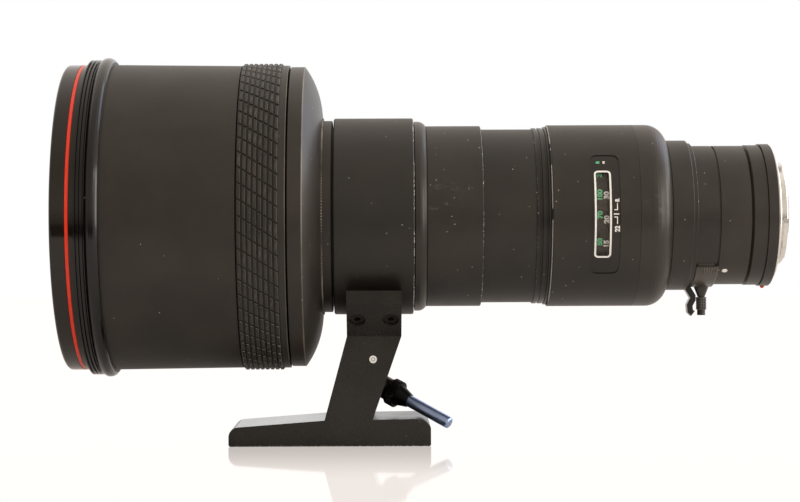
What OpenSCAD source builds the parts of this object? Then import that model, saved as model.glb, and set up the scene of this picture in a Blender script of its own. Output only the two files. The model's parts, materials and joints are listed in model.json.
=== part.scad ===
// Super telephoto lens with a rotating tripod collar, a focus grip on the front drum,
// a distance window, a drop-in rear filter and a three-lug bayonet.
// Millimetres. The optical axis runs along +X towards the camera, the tripod face is z = 0
// and the origin is the mouth of the large tripod socket. Profiles are given as
// [radius, station], and angles round the axis start straight down and grow away from
// the side with the distance window.

/* [Stand] */
// Height of the optical axis above the tripod face
axis_height = 106.1; // [100:0.1:115]
// Length of the foot along the axis
foot_len = 93.2; // [88:0.1:105]
// Width of the foot and of the leg
foot_width = 50; // [44:0.5:54]
// Height of the foot at its front end
foot_front_h = 8.9; // [8:0.1:10.5]
// Height of the foot's top where the leg starts
foot_top_h = 11.9; // [11.5:0.1:13]
// Radius of the foot's rounded ends
foot_end_r = 4.6; // [3:0.1:6]
// Distance of the leg's front edge ahead of the socket, at the foot
leg_foot_x = 2.4; // [1:0.1:5]
// Length of the leg along the axis where it meets the foot
leg_foot_len = 22.2; // [20:0.1:26]
// Distance of the saddle block's underside below the optical axis
saddle_drop = 55.5; // [54:0.1:58]
// Length of the saddle block along the axis
saddle_len = 25.1; // [23:0.1:28]
// Width added by the slanted face on each side of the saddle
saddle_flare = 15.3; // [13:0.1:17]
// Height of the upright band at the saddle's upper edge
saddle_band = 5.9; // [4:0.1:8]
// Spacing of the foot screws along the axis
screw_spacing = 15.3; // [14:0.1:16]
// Radius of the foot screws' heads
screw_head_r = 3.5; // [3:0.1:3.6]
// Depth of the counterbores for the foot screws
screw_sink = 4.6; // [4.2:0.1:5]
// Wall radius of the large tripod socket
socket_r = 3.97; // [3.5:0.01:4.2]
// Depth of the large tripod socket
socket_depth = 8.5; // [7:0.1:9]
// Wall radius of the small tripod socket
small_socket_r = 2.55; // [2.4:0.01:2.8]
// Distance from the large socket to the small one
small_socket_x = 25; // [22:0.5:30]
// Radius of the bright pin in the leg
leg_pin_r = 1.75; // [1.5:0.05:2]

/* [Collar] */
// Distance of the collar's middle behind the tripod socket
collar_centre = 20.6; // [19:0.1:22]
// Length of the collar
collar_len = 37; // [34:0.5:40]
// Wall of the collar
collar_wall = 2.9; // [2.7:0.05:3.3]
// Wall of the bearing liner inside the collar
liner_wall = 1.6; // [1.2:0.1:2]
// Gap in front of the collar
collar_gap = 0.7; // [0.5:0.05:0.9]

/* [Front] */
// Length of the glossy front ring
front_ring_len = 10.7; // [10:0.1:12]
// Outer radius of the front ring
front_ring_r = 71.6; // [71.2:0.1:72.5]
// Distance of the painted line from the front edge
line_offset = 7.8; // [7:0.1:8.3]
// Width of the painted line
line_width = 1.8; // [1:0.1:2]
// Length of the hood thread
thread_len = 4.9; // [4.9:0.1:6.5]
// Pitch of the hood thread
thread_pitch = 1.63; // [1.5:0.01:1.75]
// Height of the hood thread's crest above the drum
thread_rise = 3; // [2.7:0.1:3.5]
// Depth of the hood thread
thread_depth = 1.4; // [1:0.1:1.6]
// Length of the stop bead behind the thread
bead_len = 6.6; // [6:0.1:8]
// Height of the stop bead above the drum
bead_rise = 4; // [3.7:0.1:4.8]
// Length of the smooth drum
drum_len = 59.4; // [54:0.2:66]
// Outer radius of the smooth drum
drum_r = 70.9; // [70.8:0.1:71.6]
// Wall of the smooth drum
drum_wall = 2.5; // [2:0.1:2.6]

/* [Focus ring] */
// Outer radius of the tube that carries the focus ring
bearing_r = 63.5; // [62.5:0.1:63.8]
// Wall of that tube
bearing_wall = 2; // [1.6:0.1:2.4]
// Gap in front of the grip
grip_gap = 0.5; // [0.4:0.1:1.2]
// Length of the rubber grip
grip_len = 18.6; // [17:0.2:21]
// Crest radius of the rubber grip
grip_r = 71.9; // [71.4:0.1:72.5]
// Radius of the metal ring under the grip
ring_r = 69.5; // [69:0.1:70]
// Number of rib columns on the grip
grip_ribs = 8; // [6:1:10]
// Depth of the grooves in the grip
grip_groove = 1; // [0.6:0.1:1.2]
// Length of the smooth land behind the grip
land_len = 2.9; // [2.5:0.1:3.5]
// Radius of the smooth land
land_r = 71; // [70.5:0.1:71.4]
// Gap behind the focus ring
focus_gap = 0.9; // [0.6:0.1:1.2]

/* [Shoulder and neck] */
// Length of the straight part of the shoulder
shoulder_len = 6.3; // [5.5:0.1:8]
// Radius of the straight part of the shoulder
shoulder_r = 70.3; // [70:0.1:71]
// Length of the dome behind it
dome_len = 7.9; // [7.5:0.1:9]
// Radius at which the dome ends
dome_end_r = 46.7; // [46.3:0.1:48]
// Radius of the dome's curve
dome_curve_r = 41; // [36:0.5:60]
// Width of the knurled line on the neck
knurl_len = 0.5; // [0.4:0.05:0.7]
// Length of the neck ring
neck_len = 4.2; // [3.8:0.1:5]
// Wall of the neck ring
neck_wall = 3.5; // [3.2:0.05:4]

/* [Main tube and barrels] */
// Outer radius of the helicoid tube
helicoid_r = 38.2; // [37.9:0.05:38.6]
// Wall of the helicoid tube
helicoid_wall = 1.5; // [1.2:0.1:1.6]
// Play between the helicoid tube and the tubes round it
tube_play = 0.5; // [0.4:0.05:0.6]
// Wall of the main tube
main_wall = 2.8; // [2.6:0.05:3.1]
// Gap behind the collar
retainer_gap = 0.5; // [0.4:0.05:0.7]
// Length of the collar's retaining ring
retainer_len = 5.3; // [4.8:0.1:6]
// Wall of the collar's retaining ring
retainer_wall = 3; // [2.8:0.05:3.4]
// Length of the mid barrel
mid_len = 25.6; // [24:0.2:28]
// Wall of the mid barrel
mid_wall = 1.95; // [1.8:0.05:2.2]
// Length of the inner barrel that shows
inner_len = 24.3; // [22:0.1:27]
// Wall of the inner barrel
inner_wall = 2; // [1.9:0.05:2.1]
// Length of the ribbed ring
ribbed_len = 6; // [5.5:0.1:7]
// Wall of the ribbed ring
ribbed_wall = 1.3; // [1.2:0.05:1.6]

/* [Autofocus housing] */
// Gap in front of the housing
housing_gap = 0.6; // [0.5:0.05:0.8]
// Length of the housing
housing_len = 40.1; // [39.5:0.1:43]
// Wall of the housing
housing_wall = 2; // [1.9:0.05:2.4]
// Play between the scale drum and the housing
drum_play = 0.8; // [0.6:0.05:0.9]
// Height of the scale drum above the helicoid tube
drum_rise = 1.6; // [1.4:0.05:1.8]
// Distance of the window panel behind the housing's front edge
panel_offset = 17.7; // [17:0.1:18.2]
// Length of the window panel along the axis
panel_len = 13.1; // [12.5:0.1:13.6]
// Height of the window panel
panel_height = 54; // [50:0.5:56]
// Corner radius of the window panel
panel_corner = 3; // [2:0.1:3.5]
// Depth of the panel below the housing's surface
panel_recess = 0.4; // [0.3:0.05:0.5]
// Thickness of the window panel
panel_wall = 0.8; // [0.7:0.05:0.9]
// Distance of the window behind the panel's front edge
window_offset = 2.3; // [2:0.1:2.6]
// Length of the window along the axis
window_len = 6; // [5.5:0.1:6.4]
// Height of the window
window_height = 38.6; // [36:0.2:41]
// Length of the straight part of the rear shoulder
rear_straight = 6.3; // [6:0.1:7.5]
// Radius of the rear shoulder's round edge
rear_round = 9.4; // [9:0.1:9.9]

/* [Rear barrel] */
// Length of the rear ring
rear_ring_len = 9.7; // [9:0.1:11]
// Radius of the rear ring
rear_ring_r = 35.2; // [34.8:0.1:36]
// Length of the step behind the rear ring
step_len = 2; // [1.6:0.1:2.6]
// Radius of that step
step_r = 33.9; // [33.5:0.1:34.5]
// Outer radius of the filter section and the rear barrel
rear_r = 32.6; // [32.4:0.05:33]
// Wall of the rear barrel
rear_wall = 2; // [1.6:0.05:2.1]
// Length of the filter section
filter_len = 9.6; // [9.4:0.1:10.4]
// Width of the groove behind the filter section
groove_len = 1; // [0.8:0.1:1.3]
// Length of the rear barrel
rear_len = 13.7; // [12:0.1:16]
// Width of the groove behind the rear barrel
vee_len = 1.4; // [1:0.1:1.8]
// Length of the front land of the mount ring
mount_len = 6.1; // [5.5:0.1:7]
// Radius of the front land of the mount ring
mount_r = 32.9; // [32.6:0.1:33.4]
// Length of the rear land of the mount ring
base_len = 4.7; // [4.4:0.1:5.5]
// Radius of the rear land of the mount ring
base_r = 33.4; // [33:0.1:34]

/* [Bayonet] */
// Thickness of the bayonet plate
plate_t = 1.3; // [1.2:0.05:1.6]
// Radius of the bayonet plate
plate_r = 31; // [30.7:0.1:31.5]
// Radius of the bayonet tube
tube_r = 23; // [22.8:0.05:23.2]
// Wall of the bayonet tube
tube_wall = 1.8; // [1.6:0.05:1.9]
// Length of the bayonet tube behind the plate
tube_len = 4.4; // [4.2:0.1:5]
// Radius of the bayonet lugs
lug_r = 24.8; // [24.6:0.05:25]
// Thickness of the bayonet lugs
lug_t = 2.2; // [2:0.1:2.4]
// Angle that each lug covers
lug_angle = 50; // [44:1:56]
// Length of the contact block along its arc
contact_len = 18; // [16:0.5:20]
// Distance that the contact block stands proud of the tube
contact_proud = 0.6; // [0.4:0.1:0.8]

/* [Filter drawer] */
// Half width of the filter holder
holder_half = 23.2; // [22.8:0.1:23.4]
// Thickness of the filter holder
holder_t = 7.6; // [7.4:0.1:7.8]
// Distance of the holder behind the step
holder_offset = 1.1; // [1:0.05:1.2]
// Radius of the drop-in filter glass
filter_r = 21.8; // [21.4:0.1:22]
// Thickness of the filter glass
filter_t = 2.5; // [2:0.1:3]
// Height that the drawer cap stands proud
cap_proud = 0.4; // [0.3:0.05:0.5]
// Height of the boss under the lock knob
boss_h = 5.5; // [5:0.1:6]
// Radius of the boss at the cap
boss_r = 3.9; // [3.5:0.1:4]
// Radius of the lock knob
knob_r = 2.35; // [2.2:0.05:2.5]
// Height of the lock knob's ribbed part
knob_h = 5.8; // [5.4:0.1:6.2]
// Height of the lock knob's plain end
knob_end_h = 2.7; // [2.4:0.1:3]

/* [Collar lock] */
// Height of the rod's axis above the rear shoulder of the foot
rod_rise = 4.8; // [4.4:0.1:6]
// Distance of the knurled head behind the leg's rear face
lock_reach = 6.8; // [6.6:0.1:8]
// Angle of the lock screw below level
lock_dip = 24.9; // [22:0.5:27]
// Angle of the lock screw towards the window's side
lock_yaw = 28.3; // [24:0.5:30]
// Radius of the knurled head
lock_head_r = 6.5; // [6:0.1:6.8]
// Length of the knurled head
lock_head_len = 4.5; // [4:0.1:5]
// Length of the tapered neck
lock_neck_len = 6; // [5:0.1:7]
// Radius of the lock screw's shank
lock_shank_r = 3; // [2.6:0.1:3.2]
// Length of the polished rod outside the neck
rod_len = 23.5; // [20:0.1:26]
// Radius of the polished rod
rod_r = 2.8; // [2.5:0.1:3]
// Radius of the brake plunger
plunger_r = 3.4; // [3:0.1:3.6]

/* [Glass] */
// Depth of the front element's cell in from the drum's bore
front_rim = 9.4; // [8.4:0.1:10.4]
// Radius of curvature of its front
front_curve_r = 180; // [160:5:240]
// Thickness of the elements at their edge
glass_edge = 8; // [7:0.1:9]
// Radius of the second element
second_glass_r = 57; // [56:0.2:58]
// Radius of the focus element
focus_glass_r = 31; // [30:0.1:31.2]
// Thickness of the focus element at its middle
focus_glass_mid = 3; // [2.5:0.1:4]
// Radius of the clear opening through the iris
iris_clear_r = 21.5; // [21.3:0.1:22]

/* [Drive] */
// Distance of the autofocus shaft from the axis
af_orbit = 28.2; // [28:0.05:28.3]
// Radius of the autofocus shaft
af_shaft_r = 1.6; // [1.5:0.05:1.7]
// Radius of the cluster pinion's shaft
pinion_shaft_r = 2; // [1.8:0.1:2.2]
// Length of the focus cell
cell_len = 22; // [20:0.5:24]
// Number of iris blades
iris_blades = 7; // [7:1:7]

/* [Hidden] */

// Clearances
run_clear = 0.08;     // between a shaft or ring and its bearing
seat_clear = 0.02;    // between nested pieces that are fixed to each other
loose_clear = 0.3;    // between pieces that pass each other
overrun = 1;          // how far cuts run past a face
fine = 96;            // facets on the interpreter's own rounds
curve_steps = 10;     // segments of a drawn arc

// Angles round the axis
down = 0;
far_side = 90;
up = 180;
near_side = 270;

// Stations ahead of the collar
collar_x0 = collar_centre - collar_len / 2;
collar_x1 = collar_centre + collar_len / 2;
neck_x1 = collar_x0 - collar_gap;
neck_x0 = neck_x1 - neck_len;
knurl_x0 = neck_x0 - knurl_len;
dome_x0 = knurl_x0 - dome_len;
shoulder_x0 = dome_x0 - shoulder_len;
focus_x1 = shoulder_x0 - focus_gap;
grip_x1 = focus_x1 - land_len;
grip_x0 = grip_x1 - grip_len;
drum_x1 = grip_x0 - grip_gap;
bead_x1 = drum_x1 - drum_len;
thread_x1 = bead_x1 - bead_len;
thread_x0 = thread_x1 - thread_len;
front_x0 = thread_x0 - front_ring_len;

// Stations behind the collar
retainer_x0 = collar_x1 + retainer_gap;
retainer_x1 = retainer_x0 + retainer_len;
mid_x1 = retainer_x1 + mid_len;
inner_x1 = mid_x1 + inner_len;
ribbed_x1 = inner_x1 + ribbed_len;
housing_x0 = ribbed_x1 + housing_gap;
housing_x1 = housing_x0 + housing_len;
round_x0 = housing_x1 + rear_straight;
round_x1 = round_x0 + rear_round;
rear_ring_x1 = round_x1 + rear_ring_len;
step_x1 = rear_ring_x1 + step_len;
filter_x1 = step_x1 + filter_len;
rear_x0 = filter_x1 + groove_len;
rear_x1 = rear_x0 + rear_len;
mount_x0 = rear_x1 + vee_len;
mount_x1 = mount_x0 + mount_len;
mount_groove = 0.5;
base_x0 = mount_x1 + mount_groove;
base_x1 = base_x0 + base_len;
plate_x1 = base_x1 + plate_t;
bayonet_x1 = plate_x1 + tube_len;

// Radii from the inside out
helicoid_bore = helicoid_r - helicoid_wall;
main_bore = helicoid_r + tube_play;
main_r = main_bore + main_wall;
liner_r = main_r + run_clear + liner_wall;
collar_bore = liner_r + seat_clear;
collar_r = collar_bore + collar_wall;
neck_bore = main_r + seat_clear;
neck_r = neck_bore + neck_wall;
retainer_r = neck_bore + retainer_wall;
spigot_step = 1.1;    // step of the main tube where the mid barrel slides on
spigot_r = main_r - spigot_step;
spigot_len = 17;      // length of the main tube inside the mid barrel
inner_seat_share = 0.35;
mid_bore = spigot_r + seat_clear;
mid_r = mid_bore + mid_wall;
inner_r = main_bore + inner_wall;
inner_seat_r = inner_r - inner_seat_share * inner_wall;
ribbed_bore = inner_seat_r + seat_clear;
ribbed_r = ribbed_bore + ribbed_wall;
scale_r = helicoid_r + drum_rise;
scale_wall = 1.4;
scale_bore = scale_r - scale_wall;
housing_bore = scale_r + drum_play;
housing_r = housing_bore + housing_wall;
drum_bore = drum_r - drum_wall;
front_glass_r = drum_bore - front_rim;
thread_r = drum_r + thread_rise;
bead_r = drum_r + bead_rise;
bearing_bore = bearing_r - bearing_wall;
rear_bore = rear_r - rear_wall;
throat_r = tube_r - tube_wall;

// Gears of the focus drive. The focus ring turns a cluster pinion, which turns the
// helicoid tube, and the scale drum turns the autofocus shaft.
ring_teeth = 132;
large_pinion_teeth = 20;
small_pinion_teeth = 16;
helicoid_teeth = 96;
scale_teeth = 84;
af_teeth = 12;
ring_gear_rise = 2.5;
ring_gear_r = bearing_r + ring_gear_rise;
ring_module = 2 * ring_gear_r / ring_teeth;
large_pinion_r = ring_module * large_pinion_teeth / 2;
pinion_orbit = ring_gear_r - large_pinion_r;
helicoid_module = 2 * pinion_orbit / (helicoid_teeth + small_pinion_teeth);
helicoid_gear_r = helicoid_module * helicoid_teeth / 2;
small_pinion_r = helicoid_module * small_pinion_teeth / 2;
af_module = 2 * af_orbit / (scale_teeth - af_teeth);
scale_gear_r = af_module * scale_teeth / 2;
af_pinion_r = af_module * af_teeth / 2;
addendum_share = 0.85;
dedendum_share = 1.1;
root_width_share = 0.54;
tip_width_share = 0.2;

// Rear wall of the shoulder, the helicoid tube's gear and the pinion's place
shoulder_wall = 7.3;
wall_x = knurl_x0 - shoulder_wall;
gear_gap = 1;
gear_t = 3;
helicoid_gear_x1 = wall_x - gear_gap;
helicoid_gear_x0 = helicoid_gear_x1 - gear_t;
helicoid_lead_in = 1.5;
helicoid_x0 = helicoid_gear_x0 - helicoid_lead_in;
web_t = 2.5;
shoulder_web_t = 2.4;
rib_t = 3;
large_pinion_t = 6;
pinion_gap = 3.8;
large_pinion_x0 = grip_x0 + rib_t + pinion_gap;
large_pinion_x1 = large_pinion_x0 + large_pinion_t;
pinion_angle = up;

// Autofocus housing inside
flange_t = 2.6;
scale_x0 = housing_x0 + flange_t + loose_clear;
scale_web_t = 2;
scale_gear_t = 4;
scale_end_gap = 3.6;
scale_x1 = housing_x1 - scale_end_gap;
helicoid_x1 = scale_x0 + scale_web_t + overrun;

// Iris
iris_gap = 2;
iris_base_t = 2;
iris_x0 = helicoid_x1 + 2 * iris_gap;
iris_stack_x0 = iris_x0 + iris_base_t;
blade_t = 0.2;
blade_pitch = 0.3;
iris_ring_x0 = iris_stack_x0 + blade_pitch * (iris_blades + 2);
iris_ring_t = 1.5;
iris_rim_x1 = iris_ring_x0 + iris_ring_t + blade_pitch;
iris_rim_wall = 1.5;
iris_rim_gap = 0.7;
iris_rim_r = helicoid_bore - iris_rim_gap;
iris_ring_r = iris_rim_r - iris_rim_wall - run_clear;
frame_tube_wall = 1.2;
frame_inset = 0.2;
frame_bore = iris_clear_r - frame_inset;
frame_tube_r = frame_bore + frame_tube_wall;
frame_flange_t = 2;
frame_web_x0 = housing_x1 + seat_clear;
frame_web_t = 2.5;
frame_seat = 2;
frame_web_r = housing_bore - frame_seat;

// Filter drawer
holder_x0 = step_x1 + holder_offset;
holder_x1 = holder_x0 + holder_t;
slot_clear = 0.25;
cap_r = rear_r + cap_proud;
cap_t = 2.6;

// Saddle, from the leg's top upwards
leg_h = axis_height - saddle_drop;
saddle_x0 = collar_centre - saddle_len / 2;
saddle_x1 = collar_centre + saddle_len / 2;
saddle_z1 = leg_h + saddle_flare;
saddle_top = saddle_z1 + saddle_band;
leg_half = foot_width / 2;
saddle_half = leg_half + saddle_flare;
slant_y = leg_half + saddle_flare / 2;
slant_z = leg_h + saddle_flare / 2;
screw_tilt = atan2(slant_y, axis_height - slant_z);
slant_reach = norm([slant_y, axis_height - slant_z]);
screw_shank_r = 2;
screw_head_len = 4;

// Collar lock. Its head sits so high behind the leg that the rod clears the foot's rear
// shoulder, and its own z runs from the head's leg side to the rod's end.
leg_rear_x = leg_foot_len - leg_foot_x;
leg_rear_slope = (saddle_x1 - leg_rear_x) / (leg_h - foot_top_h);
rod_slope = tan(lock_dip) / cos(lock_yaw);
rod_span = foot_len / 2 - foot_end_r - leg_rear_x - lock_reach;
lock_rise = (rod_rise + rod_span * rod_slope) / (1 + leg_rear_slope * rod_slope);
lock_z = foot_top_h + lock_rise;
lock_x = leg_rear_x + leg_rear_slope * lock_rise + lock_reach;
washer_t = 1;
lock_shank_len = 19;
leg_pin_drop = 10.6;
leg_pin_z = leg_h - leg_pin_drop;
leg_pin_len = 8;
leg_pin_proud = 0.4;
leg_pin_inset = 9.4;
leg_pin_x = leg_rear_x + leg_rear_slope * (leg_pin_z - foot_top_h) - leg_pin_inset;
plunger_x = lock_x - lock_shank_len * cos(lock_dip) * cos(lock_yaw);
plunger_y = lock_shank_len * cos(lock_dip) * sin(lock_yaw);
plunger_z0 = lock_z + lock_shank_len * sin(lock_dip) + plunger_r / 2;
brake_gap = 0.05;

function polar(r, a) = [r * cos(a), r * sin(a)];

// Points of a circle's arc from a to b, with the centre on the left of that way
function arc_between(a, b, r, steps = curve_steps) =
    let (
        half = norm(b - a) / 2,
        along = (b - a) / (2 * half),
        centre = (a + b) / 2 + [-along[1], along[0]] * sqrt(r * r - half * half),
        start = atan2(a[1] - centre[1], a[0] - centre[0]),
        turn = 2 * asin(half / r)
    )
    [for (i = [0:steps]) centre + polar(r, start + turn * i / steps)];

// Outline of a gear, with teeth of the given root and tip radius
function gear_outline(teeth, root, tip) =
    let (pitch_angle = 360 / teeth)
    [for (i = [0:teeth - 1]) for (corner = [
        [root, -root_width_share], [tip, -tip_width_share],
        [tip, tip_width_share], [root, root_width_share]
    ]) polar(corner[0], pitch_angle * (i + corner[1] / 2))];

module on_axis() {
    translate([0, 0, axis_height]) rotate([0, 90, 0]) children();
}

module turned(points) {
    on_axis() rotate_extrude($fn = fine) polygon(points);
}

module ring(x0, x1, r_in, r_out) {
    turned([[r_in, x0], [r_out, x0], [r_out, x1], [r_in, x1]]);
}

// Ring with both outer edges bevelled
module bevelled_ring(x0, x1, r_in, r_out, bevel) {
    turned([
        [r_in, x0], [r_out - bevel, x0], [r_out, x0 + bevel],
        [r_out, x1 - bevel], [r_out - bevel, x1], [r_in, x1]
    ]);
}

// Places children at a radius and angle round the axis, with z along the axis
module round_axis(angle, orbit, x) {
    on_axis() rotate([0, 0, angle]) translate([orbit, 0, x]) children();
}

// Rod parallel to the axis
module rod(angle, orbit, x0, x1, r) {
    round_axis(angle, orbit, x0) cylinder(h = x1 - x0, r = r, $fn = fine / 2);
}

// Sector of a ring, from one angle to another
module sector_2d(r_in, r_out, a0, a1, steps = curve_steps) {
    polygon(concat(
        [for (i = [0:steps]) polar(r_out, a0 + (a1 - a0) * i / steps)],
        [for (i = [steps:-1:0]) polar(r_in, a0 + (a1 - a0) * i / steps)]
    ));
}

module sector(x0, x1, r_in, r_out, a0, a1) {
    on_axis() translate([0, 0, x0]) linear_extrude(x1 - x0) sector_2d(r_in, r_out, a0, a1);
}

// External gear on its own centre
module gear(teeth, pitch_r, thickness) {
    unit = 2 * pitch_r / teeth;
    linear_extrude(thickness)
        polygon(gear_outline(teeth, pitch_r - dedendum_share * unit, pitch_r + addendum_share * unit));
}

// Ring of inward teeth that ends at a plain outer radius
module inner_gear(teeth, pitch_r, outer_r, thickness) {
    unit = 2 * pitch_r / teeth;
    linear_extrude(thickness) difference() {
        circle(r = outer_r, $fn = fine);
        polygon(gear_outline(teeth, pitch_r + dedendum_share * unit, pitch_r - addendum_share * unit));
    }
}

// Upright slab on the window's side, rounded at its corners as seen from there
module window_slab(x0, length, height, corner) {
    translate([x0 + length / 2, 0, axis_height]) rotate([90, 0, 0]) linear_extrude(2 * housing_r) {
        square([length - 2 * corner, height], center = true);
        square([length, height - 2 * corner], center = true);
        for (sx = [-1, 1], sz = [-1, 1])
            translate([sx * (length / 2 - corner), sz * (height / 2 - corner)])
                circle(r = corner, $fn = fine / 2);
    }
}

/* Stand */

// Axis of a foot screw: children's z runs from the slanted face to the lens axis
module at_foot_screw(side, along) {
    translate([collar_centre + along * screw_spacing / 2, 0, axis_height])
        rotate([-side * screw_tilt, 0, 0]) translate([0, 0, -slant_reach]) children();
}

module each_foot_screw() {
    for (side = [-1, 1], along = [-1, 1]) at_foot_screw(side, along) children();
}

// Axis of the lock screw: children's z runs from the leg to the rod's end
module on_lock_axis() {
    translate([lock_x, 0, lock_z]) rotate([0, 90 + lock_dip, -lock_yaw]) children();
}

module tripod_collar() {
    collar_bevel = 0.5;
    color("#2b2825") difference() {
        bevelled_ring(collar_x0, collar_x1, collar_bore, collar_r, collar_bevel);
        each_foot_screw() cylinder(h = slant_reach, r = screw_shank_r + seat_clear, $fn = fine / 2);
        brake_bore();
    }
}

module collar_liner() {
    liner_inset = 0.8;
    color("#8a8378") difference() {
        ring(collar_x0 + liner_inset, collar_x1 - liner_inset, main_r + run_clear, liner_r);
        brake_bore();
    }
}

module brake_bore() {
    translate([plunger_x, plunger_y, plunger_z0 - overrun])
        cylinder(h = axis_height - plunger_z0, r = plunger_r + run_clear, $fn = fine / 2);
}

// Side view of the foot and leg, [x, z]
function foot_outline() =
    let (half = foot_len / 2, edge = 0.6, end_curve_share = 1.6)
    concat(
        [[-half, edge], [-half + edge, 0], [half - edge, 0], [half, edge]],
        arc_between(
            [half, foot_front_h - edge], [half - foot_end_r - edge, foot_top_h + edge],
            end_curve_share * foot_end_r
        ),
        [[leg_rear_x, foot_top_h + edge / 2], [saddle_x1, leg_h],
            [saddle_x1, saddle_top], [saddle_x0, saddle_top], [saddle_x0, leg_h],
            [-leg_foot_x, foot_top_h]],
        arc_between(
            [-half + foot_end_r, foot_front_h], [-half, foot_front_h - foot_end_r], foot_end_r
        )
    );

module tripod_foot() {
    boss_step = 1.2;
    lock_boss_r = lock_head_r - boss_step;
    boss_end = lock_head_len / 2 + washer_t + loose_clear;
    color("#2b2825") difference() {
        union() {
            intersection() {
                translate([0, leg_half, 0]) rotate([90, 0, 0])
                    linear_extrude(foot_width) polygon(foot_outline());
                translate([-foot_len, -leg_half, -overrun])
                    cube([2 * foot_len, foot_width, leg_h + 2 * overrun]);
            }
            saddle();
            intersection() {
                on_lock_axis() translate([0, 0, -lock_shank_len])
                    cylinder(h = lock_shank_len - boss_end, r = lock_boss_r, $fn = fine / 2);
                translate([saddle_x0, -leg_half, foot_top_h])
                    cube([lock_x, foot_width, leg_h - foot_top_h]);
            }
        }
        on_axis() translate([0, 0, collar_x0])
            cylinder(h = collar_len, r = collar_r + seat_clear, $fn = fine);
        each_foot_screw() {
            translate([0, 0, -slant_reach / 2])
                cylinder(h = slant_reach / 2 + screw_sink, r = screw_head_r + slot_clear, $fn = fine / 2);
            cylinder(h = slant_reach, r = screw_shank_r + slot_clear, $fn = fine / 2);
        }
        translate([0, 0, -overrun]) cylinder(h = socket_depth + overrun, r = socket_r, $fn = fine / 2);
        translate([small_socket_x, 0, -overrun])
            cylinder(h = socket_depth + overrun, r = small_socket_r, $fn = fine / 2);
        brake_bore();
        on_lock_axis() translate([0, 0, -lock_shank_len - plunger_r])
            cylinder(h = 2 * lock_shank_len, r = lock_shank_r + run_clear, $fn = fine / 2);
        leg_pin_place() cylinder(h = leg_half, r = leg_pin_r + seat_clear, $fn = fine / 2);
    }
}

// Block that flares from the leg to the collar, cut out to the collar's shape by the foot
module saddle() {
    translate([saddle_x0, 0, 0]) rotate([90, 0, 90]) linear_extrude(saddle_len) polygon([
        [-leg_half, leg_h], [leg_half, leg_h],
        [saddle_half, saddle_z1], [saddle_half, saddle_top],
        [-saddle_half, saddle_top], [-saddle_half, saddle_z1]
    ]);
}

module foot_screws() {
    socket_key_r = 1.7;
    color("#1a1a1a") each_foot_screw() {
        difference() {
            translate([0, 0, screw_sink - screw_head_len])
                cylinder(h = screw_head_len, r = screw_head_r, $fn = fine / 2);
            translate([0, 0, screw_sink - screw_head_len - overrun])
                cylinder(h = screw_head_len / 2 + overrun, r = socket_key_r, $fn = 6);
        }
        translate([0, 0, screw_sink])
            cylinder(h = slant_reach - screw_sink - liner_r - run_clear, r = screw_shank_r, $fn = fine / 2);
    }
}

// Place of the bright pin in the leg, with z running out of the leg's near face
module leg_pin_place() {
    translate([leg_pin_x, leg_pin_len - leg_half, leg_pin_z]) rotate([90, 0, 0]) children();
}

module leg_pin() {
    color("#d8d8d8") leg_pin_place()
        cylinder(h = leg_pin_len + leg_pin_proud, r = leg_pin_r, $fn = fine / 2);
}

/* Collar lock */

module lock_washer() {
    color("#202020") on_lock_axis() translate([0, 0, -lock_head_len / 2 - washer_t]) difference() {
        cylinder(h = washer_t - seat_clear, r = lock_head_r - washer_t, $fn = fine / 2);
        translate([0, 0, -overrun])
            cylinder(h = washer_t + 2 * overrun, r = lock_shank_r + run_clear, $fn = fine / 2);
    }
}

module lock_screw() {
    knurls = 30;
    knurl_depth = 0.45;
    neck_share = 0.78;
    cone_len_share = 0.9;
    cone_tip_share = 0.3;
    cone_len = cone_len_share * lock_shank_r;
    color("#111111") on_lock_axis() {
        difference() {
            union() {
                translate([0, 0, -lock_head_len / 2]) linear_extrude(lock_head_len) polygon([
                    for (i = [0:2 * knurls - 1])
                        polar(lock_head_r - (i % 2) * knurl_depth, 180 * i / knurls)
                ]);
                translate([0, 0, lock_head_len / 2])
                    cylinder(h = lock_neck_len, r1 = neck_share * lock_head_r, r2 = rod_r + knurl_depth,
                        $fn = fine / 2);
            }
            cylinder(h = lock_head_len + lock_neck_len, r = rod_r + seat_clear, $fn = fine / 2);
        }
        translate([0, 0, cone_len - lock_shank_len])
            cylinder(h = lock_shank_len - cone_len - seat_clear, r = lock_shank_r, $fn = fine / 2);
        translate([0, 0, -lock_shank_len])
            cylinder(h = cone_len, r1 = cone_tip_share * lock_shank_r, r2 = lock_shank_r, $fn = fine / 2);
    }
}

module lock_rod() {
    rod_end = 1.1;
    color("#b8bcc4") on_lock_axis() {
        rod_x1 = lock_head_len / 2 + lock_neck_len + rod_len;
        rotate_extrude($fn = fine / 2) polygon(concat(
            [[0, 0], [rod_r, 0]],
            arc_between([rod_r, rod_x1 - rod_end], [rod_r - rod_end, rod_x1], rod_end, 5),
            [[0, rod_x1]]
        ));
    }
}

module brake_plunger() {
    nose = 1.2;
    color("#9a9a9a") difference() {
        translate([plunger_x, plunger_y, plunger_z0]) union() {
            cylinder(h = nose, r1 = plunger_r - nose, r2 = plunger_r, $fn = fine / 2);
            translate([0, 0, nose])
                cylinder(h = axis_height - main_r - plunger_z0 + nose, r = plunger_r, $fn = fine / 2);
        }
        on_axis() translate([0, 0, collar_x0])
            cylinder(h = collar_len, r = main_r + brake_gap, $fn = fine);
    }
}

/* Front of the barrel */

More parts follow.
